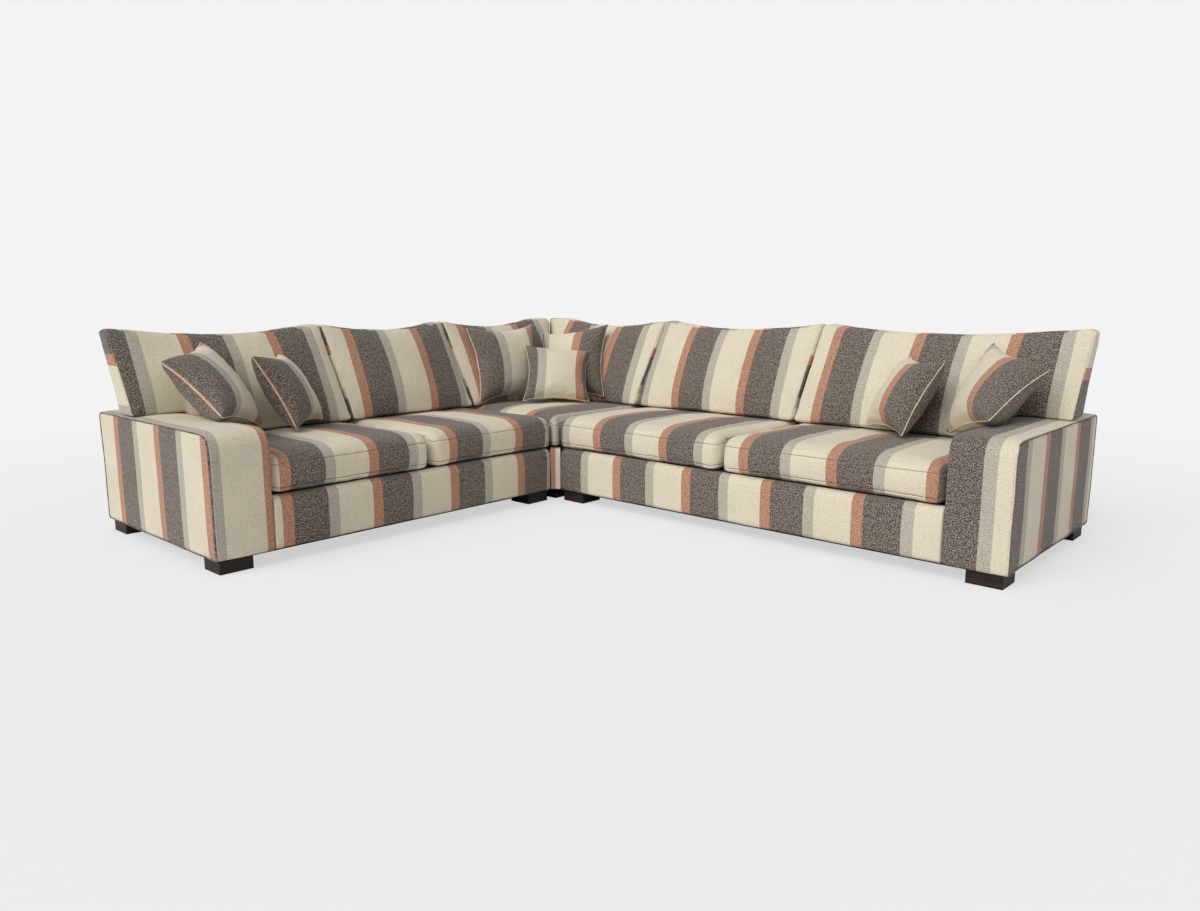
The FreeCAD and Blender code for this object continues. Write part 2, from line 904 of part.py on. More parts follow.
# Each cushion's run, size, middle and turn. The middle is measured along from the arm
# or from the other run's back frame, out from its own back frame, and up from the seat.
# The turn is the way it faces from +X, its lean back and its roll, in degrees.
SCATTERS = {
    "left_scatter_large": ("left", "large", ("arm", 72.0, 219.0, 263.9), (46, 40, -3)),
    "left_scatter_small": ("left", "small", ("arm", 404.0, 208.0, 173.1), (45, 30, -3)),
    "right_scatter_large": ("right", "large", ("arm", 72.0, 219.0, 263.9), (-136, 40, 3)),
    "right_scatter_small": ("right", "small", ("arm", 416.0, 205.2, 170.4), (-133, 30, 2)),
    "corner_scatter_left": ("left", "large", ("back", 540.0, 171.0, 223.9), (-12, 10, 2)),
    "corner_scatter_right": ("right", "large", ("back", 306.0, 151.0, 227.4), (-73, 23, 7)),
    "corner_scatter_front": ("right", "small", ("back", 437.0, 415.0, 170.3), (-37, 37, -7)),
}


def scatter_middle(run, place):
    """The plan position and height of a scatter cushion's middle."""
    datum, along, out, up = place
    if datum == "arm":
        from_corner = arm_inner(run) - along
    else:
        from_corner = d.back_depth + along
    return from_corner, d.back_depth + out, d.seat_height + up


def make_scatter(name, run, size, place, turn_angles):
    """A square cushion, thick in the middle and thin at its seam."""
    width = d.large_scatter if size == "large" else d.small_scatter
    loft = d.large_scatter_loft if size == "large" else d.small_scatter_loft
    body = new_body(name)
    facing, lean, roll = turn_angles
    upright = FreeCAD.Rotation(FreeCAD.Vector(0, 1, 0), FreeCAD.Vector(0, 0, 1),
                               FreeCAD.Vector(1, 0, 0), "XYZ")
    turn = FreeCAD.Rotation(FreeCAD.Vector(0, 0, 1), facing).multiply(upright)
    turn = turn.multiply(FreeCAD.Rotation(FreeCAD.Vector(1, 0, 0), -lean))
    body.Placement.Rotation = turn.multiply(FreeCAD.Rotation(FreeCAD.Vector(0, 0, 1), roll))
    along, out, up = scatter_middle(run, place)
    x, y = in_run(run, along, out)
    place_at(body, (OUTER_CORNER_X + x, OUTER_CORNER_Y + y, up))
    squares = []
    for height, share in SECTIONS:
        half = width * share / 2
        outline = new_sketch(body, "XY_Plane", loft * height)
        squares.append(rectangle(outline, (-half, -half), (half, half)))
    DOC.recompute()
    pillow = body.newObject("PartDesign::AdditiveLoft", name + "_loft")
    pillow.Profile = squares[0]
    pillow.Sections = squares[1:]
    DOC.recompute()
    keep(body, name)


def check_document():
    """Stop on any object that failed or any piece without a sound shape."""
    DOC.recompute()
    for item in DOC.Objects:
        if "Invalid" in item.State or "Error" in item.State:
            raise RuntimeError("%s failed: %s" % (item.Name, item.State))
    for piece in NODES:
        if piece.Shape.isNull() or not piece.Shape.isValid():
            raise RuntimeError("%s has no sound shape" % piece.Label)


def write_parts():
    os.makedirs("parts", exist_ok=True)
    for piece in NODES:
        piece.Shape.exportStep(os.path.join("parts", piece.Label + ".step"))


def main():
    holes = make_bolts()
    make_feet(holes)
    for run in ("left", "right"):
        make_arm_frame(run, holes)
        make_arm_cover(run)
        make_arm_piping(run)
        make_base_frame(run, holes)
        make_border(run)
    make_corner_base_frame(holes)
    make_corner_post()
    make_seat_webbing()
    make_decks()
    make_dust_covers(holes)
    make_connectors()
    make_backs()
    make_seats()
    make_back_cushions()
    for name, scatter in SCATTERS.items():
        make_scatter(name, *scatter)
    check_document()
    write_parts()


main()
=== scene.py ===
"""The looks of the corner sofa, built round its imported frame. Metres, +Z up.

A place in a run is (along, out, up): along from the outer corner of the L, out from the
run's back plane towards the sitter, and up from the floor.
"""

import math
from dataclasses import dataclass

import bpy
import numpy as np
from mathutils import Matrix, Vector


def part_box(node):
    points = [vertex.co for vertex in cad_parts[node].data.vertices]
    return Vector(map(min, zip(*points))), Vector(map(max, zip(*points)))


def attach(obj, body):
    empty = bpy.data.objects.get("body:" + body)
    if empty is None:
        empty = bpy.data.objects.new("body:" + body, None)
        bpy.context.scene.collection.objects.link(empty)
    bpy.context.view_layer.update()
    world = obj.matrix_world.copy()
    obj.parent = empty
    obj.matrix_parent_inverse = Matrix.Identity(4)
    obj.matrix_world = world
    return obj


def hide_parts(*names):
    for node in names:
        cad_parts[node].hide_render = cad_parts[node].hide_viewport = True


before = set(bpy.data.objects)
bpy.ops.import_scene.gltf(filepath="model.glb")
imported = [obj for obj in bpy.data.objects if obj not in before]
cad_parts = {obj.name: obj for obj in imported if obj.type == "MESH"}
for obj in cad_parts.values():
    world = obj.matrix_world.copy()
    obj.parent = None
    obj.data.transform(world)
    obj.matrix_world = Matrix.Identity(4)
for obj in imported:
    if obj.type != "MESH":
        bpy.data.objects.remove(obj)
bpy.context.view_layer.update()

CORNER_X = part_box("left_back_cover")[0].x
CORNER_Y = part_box("right_back_cover")[1].y

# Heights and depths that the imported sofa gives
DECK_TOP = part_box("left_deck")[1].z
SEAT_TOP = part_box("left_seat_cushion_outer")[1].z
ARM_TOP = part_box("left_arm_cover")[1].z
CORNER_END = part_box("corner_deck")[1].x - CORNER_X

# The fabric: vertical stripes, from left to right, and the width of each
STRIPES = (("terracotta", 0.048), ("dark", 0.155), ("grey", 0.049), ("cream", 0.1635))
REPEAT = sum(width for _, width in STRIPES)
# Places across the stripes for cords, in the dark stripe and in the cream one. A seat's seam cords take
# the dark one all round, as painted shade along the seams.
IN_DARK = 0.120
IN_CREAM = 0.330
CORD_TWIST = 2.7

# Where a terracotta stripe starts on each piece: its edge on the left, seen from the front.
# Back cushions have it at their base, and STRIPE_TILTS says how far it has come towards
# the corner at their top.
STRIPE_STARTS = {
    "left_seat_cushion_outer": 2.150,
    "left_seat_cushion_inner": 1.732,
    "corner_seat_cushion": 0.797,
    "right_seat_cushion_inner": 1.302,
    "right_seat_cushion_outer": 2.150,
    "left_back_cushion_outer": 2.150,
    "left_back_cushion_inner": 1.757,
    "corner_back_cushion_left": 1.005,
    "corner_back_cushion_right": 0.755,
    "right_back_cushion_inner": 1.304,
    "right_back_cushion_outer": 2.145,
    "left_front_border": 2.148,
    "right_front_border": 2.274,
    "left_arm_cover": 2.629,
    "right_arm_cover": 2.975,
    "left_back_cover": 2.148,
    "right_back_cover": 1.306,
    "corner_left_back_cover": 0.900,
    "corner_right_back_cover": 0.890,
}

STRIPE_TILTS = {
    "left_back_cushion_outer": 0.020,
    "left_back_cushion_inner": 0.045,
    "corner_back_cushion_left": 0.040,
    "corner_back_cushion_right": 0.045,
    "right_back_cushion_inner": 0.045,
    "right_back_cushion_outer": 0.012,
}

# Seat cushions
SEAT_SIDE_ROUND = 0.044
SEAT_FRONT_ROUND = 0.058
SEAT_BASE_ROUND = 0.026
SEAT_TOP_SEAM = 0.036
SEAT_LOW_SEAM = 0.028
SEAT_CROWN = 0.014
SEAT_BULGE = 0.014
SEAT_SWELL = 0.026
SEAT_NOSE = 0.046
SEAT_SAG = 0.012
SEAM_GROOVE = 0.0045
SEAT_FOLD = 0.0022

# Back cushions
BACK_LEAN = math.tan(math.radians(26))
BACK_START = 0.283
BACK_DEPTH = 0.145
BACK_SCOOP = 0.036
BACK_EDGE = 0.016
BACK_SIDE_EDGE = 0.008
BACK_TOP_CORNER = 0.036
BACK_LOW_CORNER = 0.020
MITRE_SHIFT = 0.045
BACK_TAPER = 0.34
BACK_CROWN = 0.020
BACK_SWELL = 0.022
BACK_RISE = 0.012
BACK_SIDE_STRIPE = 0.745

# How the soft pieces are made
CELL = 0.020
SEAT_INSET = np.array([0.005, 0.005, 0.003])
BACK_INSET = np.array([0.000, 0.005, 0.002])
TOUCH = 0.002
SOFT = 0.006
SIM_FRAMES = 9
SEAM_SHRINK = {"seat_fabric": 0.008, "back_fabric": 0.003, "scatter_fabric": 0.030}
SEAM_DEPTH = 0.0048
SEAM_RADIUS = 0.0012
WELT_RADIUS = 0.0024
WELT_SIDES = 8


def columns(*parts):
    return np.stack(parts, axis=1)


def in_frame(run, points):
    """Places in a run as the frame's x, y and z."""
    along, out, up = np.asarray(points, float).T
    x, y = (along, out) if run == "right" else (out, along)
    return columns(CORNER_X + x, CORNER_Y - y, up)


def to_run(run, points):
    """The frame's x, y and z as places in a run."""
    x, y = points[:, 0] - CORNER_X, CORNER_Y - points[:, 1]
    along, out = (x, y) if run == "right" else (y, x)
    return columns(along, out, points[:, 2])


def in_run(run, node):
    """A node's box in its run, as the low and the high (along, out, up)."""
    corners = to_run(run, np.array(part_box(node)))
    return corners.min(axis=0), corners.max(axis=0)


def run_of(node):
    """The run that a piece is described in. The corner's own pieces use the right one."""
    return "left" if "left" in node else "right"


def arm_inner(run):
    """How far along the run its arm begins."""
    return in_run(run, run + "_arm_cover")[0][0]


def smooth(value, low, high):
    """0 below low, 1 above high, and a soft step between them."""
    share = np.clip((value - low) / (high - low), 0, 1)
    return share * share * (3 - 2 * share)


def under(value, limit, softness):
    """Values held below a limit, with a soft approach to it."""
    start = limit - softness
    past = np.maximum(value - start, 0)
    return np.where(value > start, limit - softness * np.exp(-past / softness), value)


def over(value, limit, softness):
    """Values held above a limit, with a soft approach to it."""
    return -under(-value, -limit, softness)


def ripple(points, wavelength, seed):
    """Gentle unevenness, mostly from -1 to 1 and the same on each run of the script."""
    rng = np.random.default_rng(seed)
    total = np.zeros(len(points))
    waves = 7
    for _ in range(waves):
        direction = rng.normal(size=3)
        direction *= 2 * math.pi / (wavelength * rng.uniform(0.7, 1.5) * np.linalg.norm(direction))
        total += np.sin(points @ direction + rng.uniform(0, 2 * math.pi))
    return total / math.sqrt(waves * 2)


# Forms: closed boxes of quads whose points keep their place in the box

SIDES = (("start", "end"), ("rear", "front"), ("bottom", "top"))


def steps(length, edge, cell=CELL):
    """Shares from 0 to 1 along a length, closer together in the rounded edges."""
    inner = max(2, round((length - 2 * edge) / cell))
    middle = np.linspace(edge, length - edge, inner + 1)
    head = [0.0, edge / 3, edge * 2 / 3]
    tail = [length - step for step in reversed(head)]
    return np.array([*head, *middle, *tail]) / length


class Form:
    """A closed box of quads. It knows each point's shares of the box and each face's side."""

    def __init__(self, along, out, up):
        self.steps = [np.asarray(step, float) for step in (along, out, up)]
        self.index = {}
        faces = []
        sides = []
        for axis in range(3):
            first, second = [other for other in range(3) if other != axis]
            for end, level in enumerate((0, len(self.steps[axis]) - 1)):
                for i in range(len(self.steps[first]) - 1):
                    for j in range(len(self.steps[second]) - 1):
                        quad = [self.point(axis, level, first, i + a, second, j + b)
                                for a, b in ((0, 0), (1, 0), (1, 1), (0, 1))]
                        flip = (end == 0) != (axis == 1)
                        faces.append(quad[::-1] if flip else quad)
                        sides.append(SIDES[axis][end])
        self.faces = np.array(faces)
        self.sides = np.array(sides)
        self.shares = np.array([[self.steps[axis][cell[axis]] for axis in range(3)]
                                for cell in self.index])

    def point(self, axis, level, first, i, second, j):
        cell = [0, 0, 0]
        cell[axis] = level
        cell[first] = i
        cell[second] = j
        return self.index.setdefault(tuple(cell), len(self.index))

    def ring(self, axis, level):
        """The points round the box at one level of an axis, in order."""
        first, second = [other for other in range(3) if other != axis]
        last_i = len(self.steps[first]) - 1
        last_j = len(self.steps[second]) - 1
        path = [(i, 0) for i in range(last_i)]
        path += [(last_i, j) for j in range(last_j)]
        path += [(i, last_j) for i in range(last_i, 0, -1)]
        path += [(0, j) for j in range(last_j, 0, -1)]
        return [self.point(axis, level, first, i, second, j) for i, j in path]

    def level(self, axis, share):
        return int(np.argmin(np.abs(self.steps[axis] - share)))


def rounded(points, low, high, radii_low, radii_high):
    """Points of a box moved onto its rounded edges. Each axis has a radius at each end."""
    inner = np.clip(points, low + radii_low, high - radii_high)
    offset = points - inner
    radii = np.where(offset < 0, radii_low, radii_high)
    share = offset / radii
    size = np.linalg.norm(share, axis=1, keepdims=True)
    return inner + np.where(size > 1, share / np.maximum(size, 1e-9), share) * radii


def round_corner(first, second, corner, radius):
    """Turns a square corner of an outline into an arc. corner is its two coordinates."""
    sign = (1 if corner[0] > np.mean(first) else -1, 1 if corner[1] > np.mean(second) else -1)
    middle = (corner[0] - sign[0] * radius, corner[1] - sign[1] * radius)
    a = (first - middle[0]) * sign[0] / radius
    b = (second - middle[1]) * sign[1] / radius
    inside = (a > 0) & (b > 0)
    a_new = a * np.sqrt(np.clip(1 - b * b / 2, 0, 1))
    b_new = b * np.sqrt(np.clip(1 - a * a / 2, 0, 1))
    first = np.where(inside, middle[0] + sign[0] * radius * a_new, first)
    second = np.where(inside, middle[1] + sign[1] * radius * b_new, second)
    return first, second


# Fabric places: how far across the stripes, and how far along them

def across(run, start, along):
    return along - start if run == "right" else start - along


def box_fabric(form, rest, run, node, side_start=None):
    """Each face corner's place on the cloth. Side panels carry level stripes from
    side_start up or, without one, go on round the corner from the front."""
    start = STRIPE_STARTS[node]
    along, out, up = np.moveaxis(rest[form.faces], -1, 0)
    low, high = rest.min(axis=0), rest.max(axis=0)
    place = np.stack([across(run, start, along), out - up, np.zeros_like(up)], axis=-1)
    flat = np.isin(form.sides, ("top", "bottom"))
    place[flat, :, 1] = out[flat]
    for side, edge, turn in (("start", low[0], -1), ("end", high[0], 1)):
        here = form.sides == side
        if side_start is None:
            place[here, :, 0] = across(run, start, edge + turn * (high[1] - out[here]))
            place[here, :, 1] = -up[here]
        else:
            rising = 1 if run == "left" else -1
            place[here, :, 0] = rising * (up[here] - side_start)
            place[here, :, 1] = out[here]
    return place


def signed_volume(points, faces):
    a, b, c, d = (points[faces[:, k]] for k in range(4))
    return (np.cross(b - a, c - a) * a + np.cross(c - a, d - a) * a).sum()


# Materials

def srgb(red, green, blue):
    """A colour written as the eye reads it, from 0 to 255, in linear light."""
    def linear(level):
        level /= 255
        return level / 12.92 if level <= 0.04045 else ((level + 0.055) / 1.055) ** 2.4
    return (linear(red), linear(green), linear(blue), 1.0)


# Each stripe is spun from a darker and a lighter yarn
YARNS = {
    "terracotta": (srgb(163, 110, 86), srgb(206, 164, 140)),
    "dark": (srgb(60, 53, 48), srgb(160, 148, 136)),
    "grey": (srgb(166, 159, 145), srgb(201, 195, 180)),
    "cream": (srgb(211, 200, 177), srgb(231, 222, 200)),
}


class Nodes:
    """Short calls for a material's nodes."""

    def __init__(self, name):
        self.material = bpy.data.materials.new(name)
        self.material.use_nodes = True
        self.tree = self.material.node_tree
        self.shader = self.tree.nodes["Principled BSDF"]

    def add(self, kind, **settings):
        node = self.tree.nodes.new("ShaderNode" + kind)
        for key, value in settings.items():
            setattr(node, key, value)
        return node

    def link(self, source, target):
        self.tree.links.new(source, target)

    def feed(self, socket, value):
        if hasattr(value, "node"):
            self.link(value, socket)
        else:
            socket.default_value = value

    def fed(self, node, output, values):
        """Feeds a node's inputs, named or in order, and returns its output."""
        for socket, value in values.items():
            self.feed(node.inputs[socket], value)
        return node.outputs[output]

    def math(self, operation, *values):
        return self.fed(self.add("Math", operation=operation), 0, dict(enumerate(values)))

    def noise(self, vector, scale, detail=2.0, rough=0.5):
        values = {"Vector": vector, "Scale": scale, "Detail": detail, "Roughness": rough}
        return self.fed(self.add("TexNoise"), "Fac", values)

    def spread(self, value, low, high, to_low=0.0, to_high=1.0):
        values = dict(enumerate((value, low, high, to_low, to_high)))
        return self.fed(self.add("MapRange"), 0, values)

    def mix(self, share, first, second, kind="MIX"):
        node = self.add("Mix", data_type="RGBA", blend_type=kind)
        return self.fed(node, "Result", {"Factor": share, "A": first, "B": second})

    def bump(self, height, distance, strength, **normal):
        values = {"Height": height, "Distance": distance, "Strength": strength, **normal}
        return self.fed(self.add("Bump"), "Normal", values)

    def ramp(self, value, stops):
        """Even colours, each from its place to the next one's."""
        node = self.add("ValToRGB")
        node.color_ramp.interpolation = "CONSTANT"
        elements = node.color_ramp.elements
        elements.remove(elements[-1])
        for number, (place, colour) in enumerate(stops):
            element = elements[0] if number == 0 else elements.new(place)
            element.position = place
            element.color = colour
        self.feed(node.inputs["Fac"], value)
        return node.outputs["Color"]

    def set(self, **values):
        for name, value in values.items():
            self.feed(self.shader.inputs[name.replace("_", " ")], value)


def stripe_stops(tone):
    """The start of each stripe as a share of the repeat, with its yarn's colour."""
    place = 0.0
    stops = []
    for name, width in STRIPES:
        stops.append((place, YARNS[name][tone]))
        place += width / REPEAT
    return stops


STRIPE_FRAY = 0.0022


def striped_fabric(name):
    """Chenille in stripes, spun from two yarns, with a fine uneven pile."""
    nodes = Nodes(name)
    cloth = nodes.add("Attribute", attribute_name="fabric").outputs["Vector"]
    over_stripes = nodes.fed(nodes.add("SeparateXYZ"), 0, {0: cloth})
    fray = nodes.spread(nodes.noise(cloth, 160.0), 0.0, 1.0, -STRIPE_FRAY, STRIPE_FRAY)
    place = nodes.math("DIVIDE", nodes.math("ADD", over_stripes, fray), REPEAT)
    place = nodes.math("FRACT", place)
    flecks = nodes.noise(cloth, 215.0, 2.0, 0.6)
    clumps = nodes.noise(cloth, 60.0, 2.0, 0.55)
    yarn = nodes.math("ADD", nodes.math("MULTIPLY", flecks, 0.84), nodes.math("MULTIPLY", clumps, 0.16))
    share = nodes.spread(yarn, 0.46, 0.585)
    colour = nodes.mix(share, nodes.ramp(place, stripe_stops(0)), nodes.ramp(place, stripe_stops(1)))
    wear = nodes.spread(nodes.noise(cloth, 5.0, 3.0), 0.3, 0.7, 0.95, 1.04)
    shade = nodes.add("CombineColor")
    for socket in shade.inputs[:3]:
        nodes.link(wear, socket)
    colour = nodes.mix(1.0, colour, shade.outputs[0], "MULTIPLY")
    pile = nodes.bump(nodes.noise(cloth, 420.0, 2.0, 0.6), 0.0012, 0.55)
    pile = nodes.bump(flecks, 0.0020, 0.50, Normal=pile)
    nodes.set(Base_Color=colour, Roughness=0.92, Normal=pile, Sheen_Weight=0.18,
              Sheen_Roughness=0.55, Specular_IOR_Level=0.18)
    return nodes.material


def plain_cloth(name, dark, light, scale, distance):
    """A plain woven cloth in two close shades, on the piece's own coordinates."""
    nodes = Nodes(name)
    place = nodes.add("TexCoord").outputs["Object"]
    threads = nodes.noise(place, scale, 2.0, 0.6)
    patches = nodes.noise(place, scale / 30, 2.0)
    share = nodes.spread(nodes.math("ADD", threads, patches), 0.7, 1.3)
    nodes.set(Base_Color=nodes.mix(share, dark, light), Roughness=0.94,
              Normal=nodes.bump(threads, distance, 0.5), Sheen_Weight=0.1, Specular_IOR_Level=0.15)
    return nodes.material


def wood(name, dark, light, stretch, roughness, coat):
    """Wood with level grain. stretch is how fast it changes along x, y and z."""
    nodes = Nodes(name)
    place = nodes.add("TexCoord").outputs["Object"]
    place = nodes.fed(nodes.add("Mapping"), 0, {"Vector": place, "Scale": stretch})
    grain = nodes.noise(place, 1.0, 6.0, 0.62)
    pores = nodes.noise(place, 4.0, 3.0, 0.7)
    share = nodes.spread(grain, 0.35, 0.68)
    nodes.set(Base_Color=nodes.mix(share, dark, light),
              Roughness=nodes.spread(pores, 0.3, 0.7, roughness - 0.08, roughness + 0.1),
              Normal=nodes.bump(pores, 0.0004, 0.5), Coat_Weight=coat, Coat_Roughness=0.35,
              Specular_IOR_Level=0.3)
    return nodes.material


def steel(name):
    """Zinc-plated steel, faintly brushed and spangled."""
    nodes = Nodes(name)
    place = nodes.add("TexCoord").outputs["Object"]
    spangle = nodes.noise(place, 90.0, 2.0)
    nodes.set(Base_Color=nodes.mix(spangle, srgb(176, 178, 180), srgb(212, 212, 210)), Metallic=1.0,
              Roughness=nodes.spread(spangle, 0.3, 0.7, 0.28, 0.46),
              Normal=nodes.bump(nodes.noise(place, 700.0), 0.0002, 0.3))
    return nodes.material


FABRICS = {slot: striped_fabric(slot) for slot in
           ("cover_fabric", "seat_fabric", "back_fabric", "scatter_fabric")}
DECK_CLOTH = plain_cloth("deck_cloth", srgb(44, 42, 41), srgb(72, 69, 66), 900.0, 0.0006)
DUST_CLOTH = plain_cloth("dust_cloth", srgb(20, 20, 21), srgb(40, 40, 41), 500.0, 0.0003)
WEBBING = plain_cloth("webbing", srgb(92, 66, 44), srgb(150, 112, 76), 1200.0, 0.0006)
FOOT_WOOD = wood("foot_wood", srgb(26, 16, 11), srgb(50, 33, 23), (9.0, 9.0, 90.0), 0.5, 0.05)
FRAME_WOOD = wood("frame_wood", srgb(176, 140, 96), srgb(214, 182, 136), (14.0, 14.0, 60.0), 0.65, 0.0)
ZINC = steel("zinc_steel")


# Making meshes

def add_object(name, data):
    made = bpy.data.objects.new(name, data)
    bpy.context.scene.collection.objects.link(made)
    return made


def make_mesh(name, points, faces, fabric, material):
    """A mesh of quads, facing outwards, with each face corner's place on the cloth."""
    mesh = bpy.data.meshes.new(name)
    if signed_volume(points, faces) < 0:
        faces = faces[:, ::-1]
        fabric = fabric[:, ::-1]
    mesh.from_pydata(points.tolist(), [], faces.tolist())
    place = mesh.attributes.new("fabric", "FLOAT_VECTOR", "CORNER")
    place.data.foreach_set("vector", np.ascontiguousarray(fabric, np.float32).ravel())
    mesh.materials.append(material)
    return add_object(name, mesh)


def points_of(mesh):
    places = np.empty(len(mesh.vertices) * 3, np.float32)
    mesh.vertices.foreach_get("co", places)
    return places.reshape(-1, 3).astype(float)


def normals_of(mesh):
    normals = np.empty(len(mesh.vertices) * 3, np.float32)
    mesh.vertices.foreach_get("normal", normals)
    return normals.reshape(-1, 3).astype(float)


def move_points(mesh, points):
    mesh.vertices.foreach_set("co", np.ascontiguousarray(points, np.float32).ravel())
    mesh.update()


def push_out(mesh, amounts):
    """Moves each point along its normal."""
    move_points(mesh, points_of(mesh) + normals_of(mesh) * amounts[:, None])


def sink_seams(mesh, rings, depth):
    """Draws the points of the seams into the cloth."""
    seam = np.zeros(len(mesh.vertices))
    for ring in rings:
        seam[ring] = -depth
    push_out(mesh, seam)


def shade_smooth(mesh):
    mesh.polygons.foreach_set("use_smooth", [True] * len(mesh.polygons))


def subdivide(piece):
    """One smooth subdivision, applied. The first points stay the ones of the form."""
    modifier = piece.modifiers.new("Subdivision", "SUBSURF")
    modifier.levels = modifier.render_levels = 1
    shown = piece.evaluated_get(bpy.context.evaluated_depsgraph_get())
    mesh = bpy.data.meshes.new_from_object(shown)
    piece.modifiers.clear()
    piece.data = mesh
    shade_smooth(mesh)


def dress_up(piece, nodes, body):
    """Attaches a padded piece to what it moves with and hides the imported parts that it stands for."""
    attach(piece, body)
    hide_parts(*nodes)


def tube(name, path, fabric, radius, material):
    """A closed cord along a ring of points. Each point has its place on the cloth."""
    count = len(path)
    ahead = np.roll(path, -1, axis=0) - np.roll(path, 1, axis=0)
    ahead /= np.maximum(np.linalg.norm(ahead, axis=1, keepdims=True), 1e-9)
    sideways = np.cross(ahead, np.where(np.abs(ahead[:, 2:]) > 0.8, (1.0, 0.0, 0.0), (0.0, 0.0, 1.0)))
    sideways /= np.linalg.norm(sideways, axis=1, keepdims=True)
    for number in range(1, count):
        kept = sideways[number - 1] - ahead[number] * (sideways[number - 1] @ ahead[number])
        sideways[number] = kept / np.linalg.norm(kept)
    upward = np.cross(ahead, sideways)
    angles = np.arange(WELT_SIDES) * 2 * math.pi / WELT_SIDES
    points = (path[:, None] + radius * (np.cos(angles)[None, :, None] * sideways[:, None]
                                        + np.sin(angles)[None, :, None] * upward[:, None]))
    here, side = np.divmod(np.arange(count * WELT_SIDES), WELT_SIDES)
    after = (here + 1) % count
    beside = (side + 1) % WELT_SIDES
    along = np.stack([here, after, after, here], axis=1)
    faces = along * WELT_SIDES + np.stack([side, side, beside, beside], axis=1)
    cord = make_mesh(name, points.reshape(-1, 3), faces, fabric[along], material)
    shade_smooth(cord.data)
    return cord


def fine_ring(ring_points):
    """A smooth closed line through a ring of points, with one more between each two."""
    before = np.roll(ring_points, 1, axis=0)
    after = np.roll(ring_points, -1, axis=0)
    beyond = np.roll(ring_points, -2, axis=0)
    between = (9 * (ring_points + after) - before - beyond) / 16
    return np.stack([ring_points, between], axis=1).reshape(-1, 3)


def add_welts(piece, rings, cloths, body, slot, radius, lift=0.0):
    """Sewn edges: a thin cord that follows each seam, lifted out of it where it is piping.
    cloths has its places on the cloth."""
    places = points_of(piece.data) + normals_of(piece.data) * lift
    for number, ring in enumerate(rings):
        line = fine_ring(places[ring])
        cloth = np.repeat(cloths[number], 2, axis=0)
        cord = tube("%s_welt_%d" % (piece.name, number), line, cloth, radius, FABRICS[slot])
        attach(cord, body)


def fabric_at_points(form, fabric):
    """One place on the cloth for each point, from one of the faces beside it."""
    made = np.zeros((len(form.shares), 3))
    made[form.faces.ravel()] = fabric.reshape(-1, 3)
    return made


# Cloth simulation, all cushions in one go

CLOTH = {"quality": 4, "use_pressure": True, "tension_stiffness": 30, "compression_stiffness": 12,
         "bending_stiffness": 0.4, "vertex_group_shrink": "seams", "shrink_min": 0.0}


@dataclass
class Cushion:
    """A stuffed piece: its form, its first places, and how it is held once it swells."""
    node: str
    form: Form
    start_points: np.ndarray
    rings: list
    fabric: np.ndarray
    hold: object
    fill: float
    swell: float
    pressure: float

    def __post_init__(self):
        kind = next(word for word in ("seat", "back", "scatter") if word in self.node)
        self.slot = kind + "_fabric"
        self.piece = make_mesh(self.node + "_cushion", self.start_points, self.form.faces,
                               self.fabric, FABRICS[self.slot])

    def add_cloth(self):
        seams = self.piece.vertex_groups.new(name="seams")
        seams.add([int(point) for ring in self.rings for point in ring], 1.0, "REPLACE")
        modifier = self.piece.modifiers.new("Cloth", "CLOTH")
        settings = modifier.settings
        for name, value in CLOTH.items():
            setattr(settings, name, value)
        settings.uniform_pressure_force = self.pressure
        settings.effector_weights.gravity = 0
        settings.shrink_max = SEAM_SHRINK[self.slot]
        modifier.point_cache.frame_start = 1
        modifier.point_cache.frame_end = SIM_FRAMES

    def take_result(self):
        """The simulated places, with no point moved further than the swell allows."""
        shown = self.piece.evaluated_get(bpy.context.evaluated_depsgraph_get())
        moved = points_of(shown.data) - self.start_points
        self.piece.modifiers.clear()
        self.piece.vertex_groups.clear()
        size = np.linalg.norm(moved, axis=1, keepdims=True)
        moved *= min(1, self.swell / max(np.quantile(size, 0.98), 1e-9))
        size = np.linalg.norm(moved, axis=1, keepdims=True)
        moved *= np.minimum(1, self.swell / np.maximum(size, 1e-9))
        return self.start_points + moved

    def finish(self, push, cloths, radius):
        """Smooths the cushion, pushes its points out and sews its edges."""
        subdivide(self.piece)
        push_out(self.piece.data, push(points_of(self.piece.data)))
        dress_up(self.piece, [self.node], self.node)
        add_welts(self.piece, self.rings, cloths, self.node, self.slot, radius)


def simulate(cushions):
    """Swells every cushion at once and returns the places of their points."""
    for cushion in cushions:
        cushion.add_cloth()
    scene = bpy.context.scene
    scene.frame_start = 1
    scene.frame_end = SIM_FRAMES
    for number in range(1, SIM_FRAMES + 1):
        scene.frame_set(number)
    return [cushion.take_result() for cushion in cushions]


def shrunk(points, amount):
    """The same shape, a little smaller on every side."""
    middle = (points.min(axis=0) + points.max(axis=0)) / 2
    half = (points.max(axis=0) - points.min(axis=0)) / 2
    return middle + (points - middle) * (1 - amount / half)


# Seat cushions

def seat_levels(height):
    """Heights of a seat's rows of points. Two of the rows carry its seams."""
    below = SEAT_LOW_SEAM * np.array([0.0, 0.28, 0.56])
    seams = np.array([SEAT_LOW_SEAM, height - SEAT_TOP_SEAM])
    beside = np.concatenate([seams - SEAM_GROOVE, seams + SEAM_GROOVE])
    band = np.linspace(*seams, 7)[1:-1]
    above = height - SEAT_TOP_SEAM * np.array([0.55, 0.28, 0.0])
    return np.sort(np.concatenate([below, seams, beside, band, above])) / height


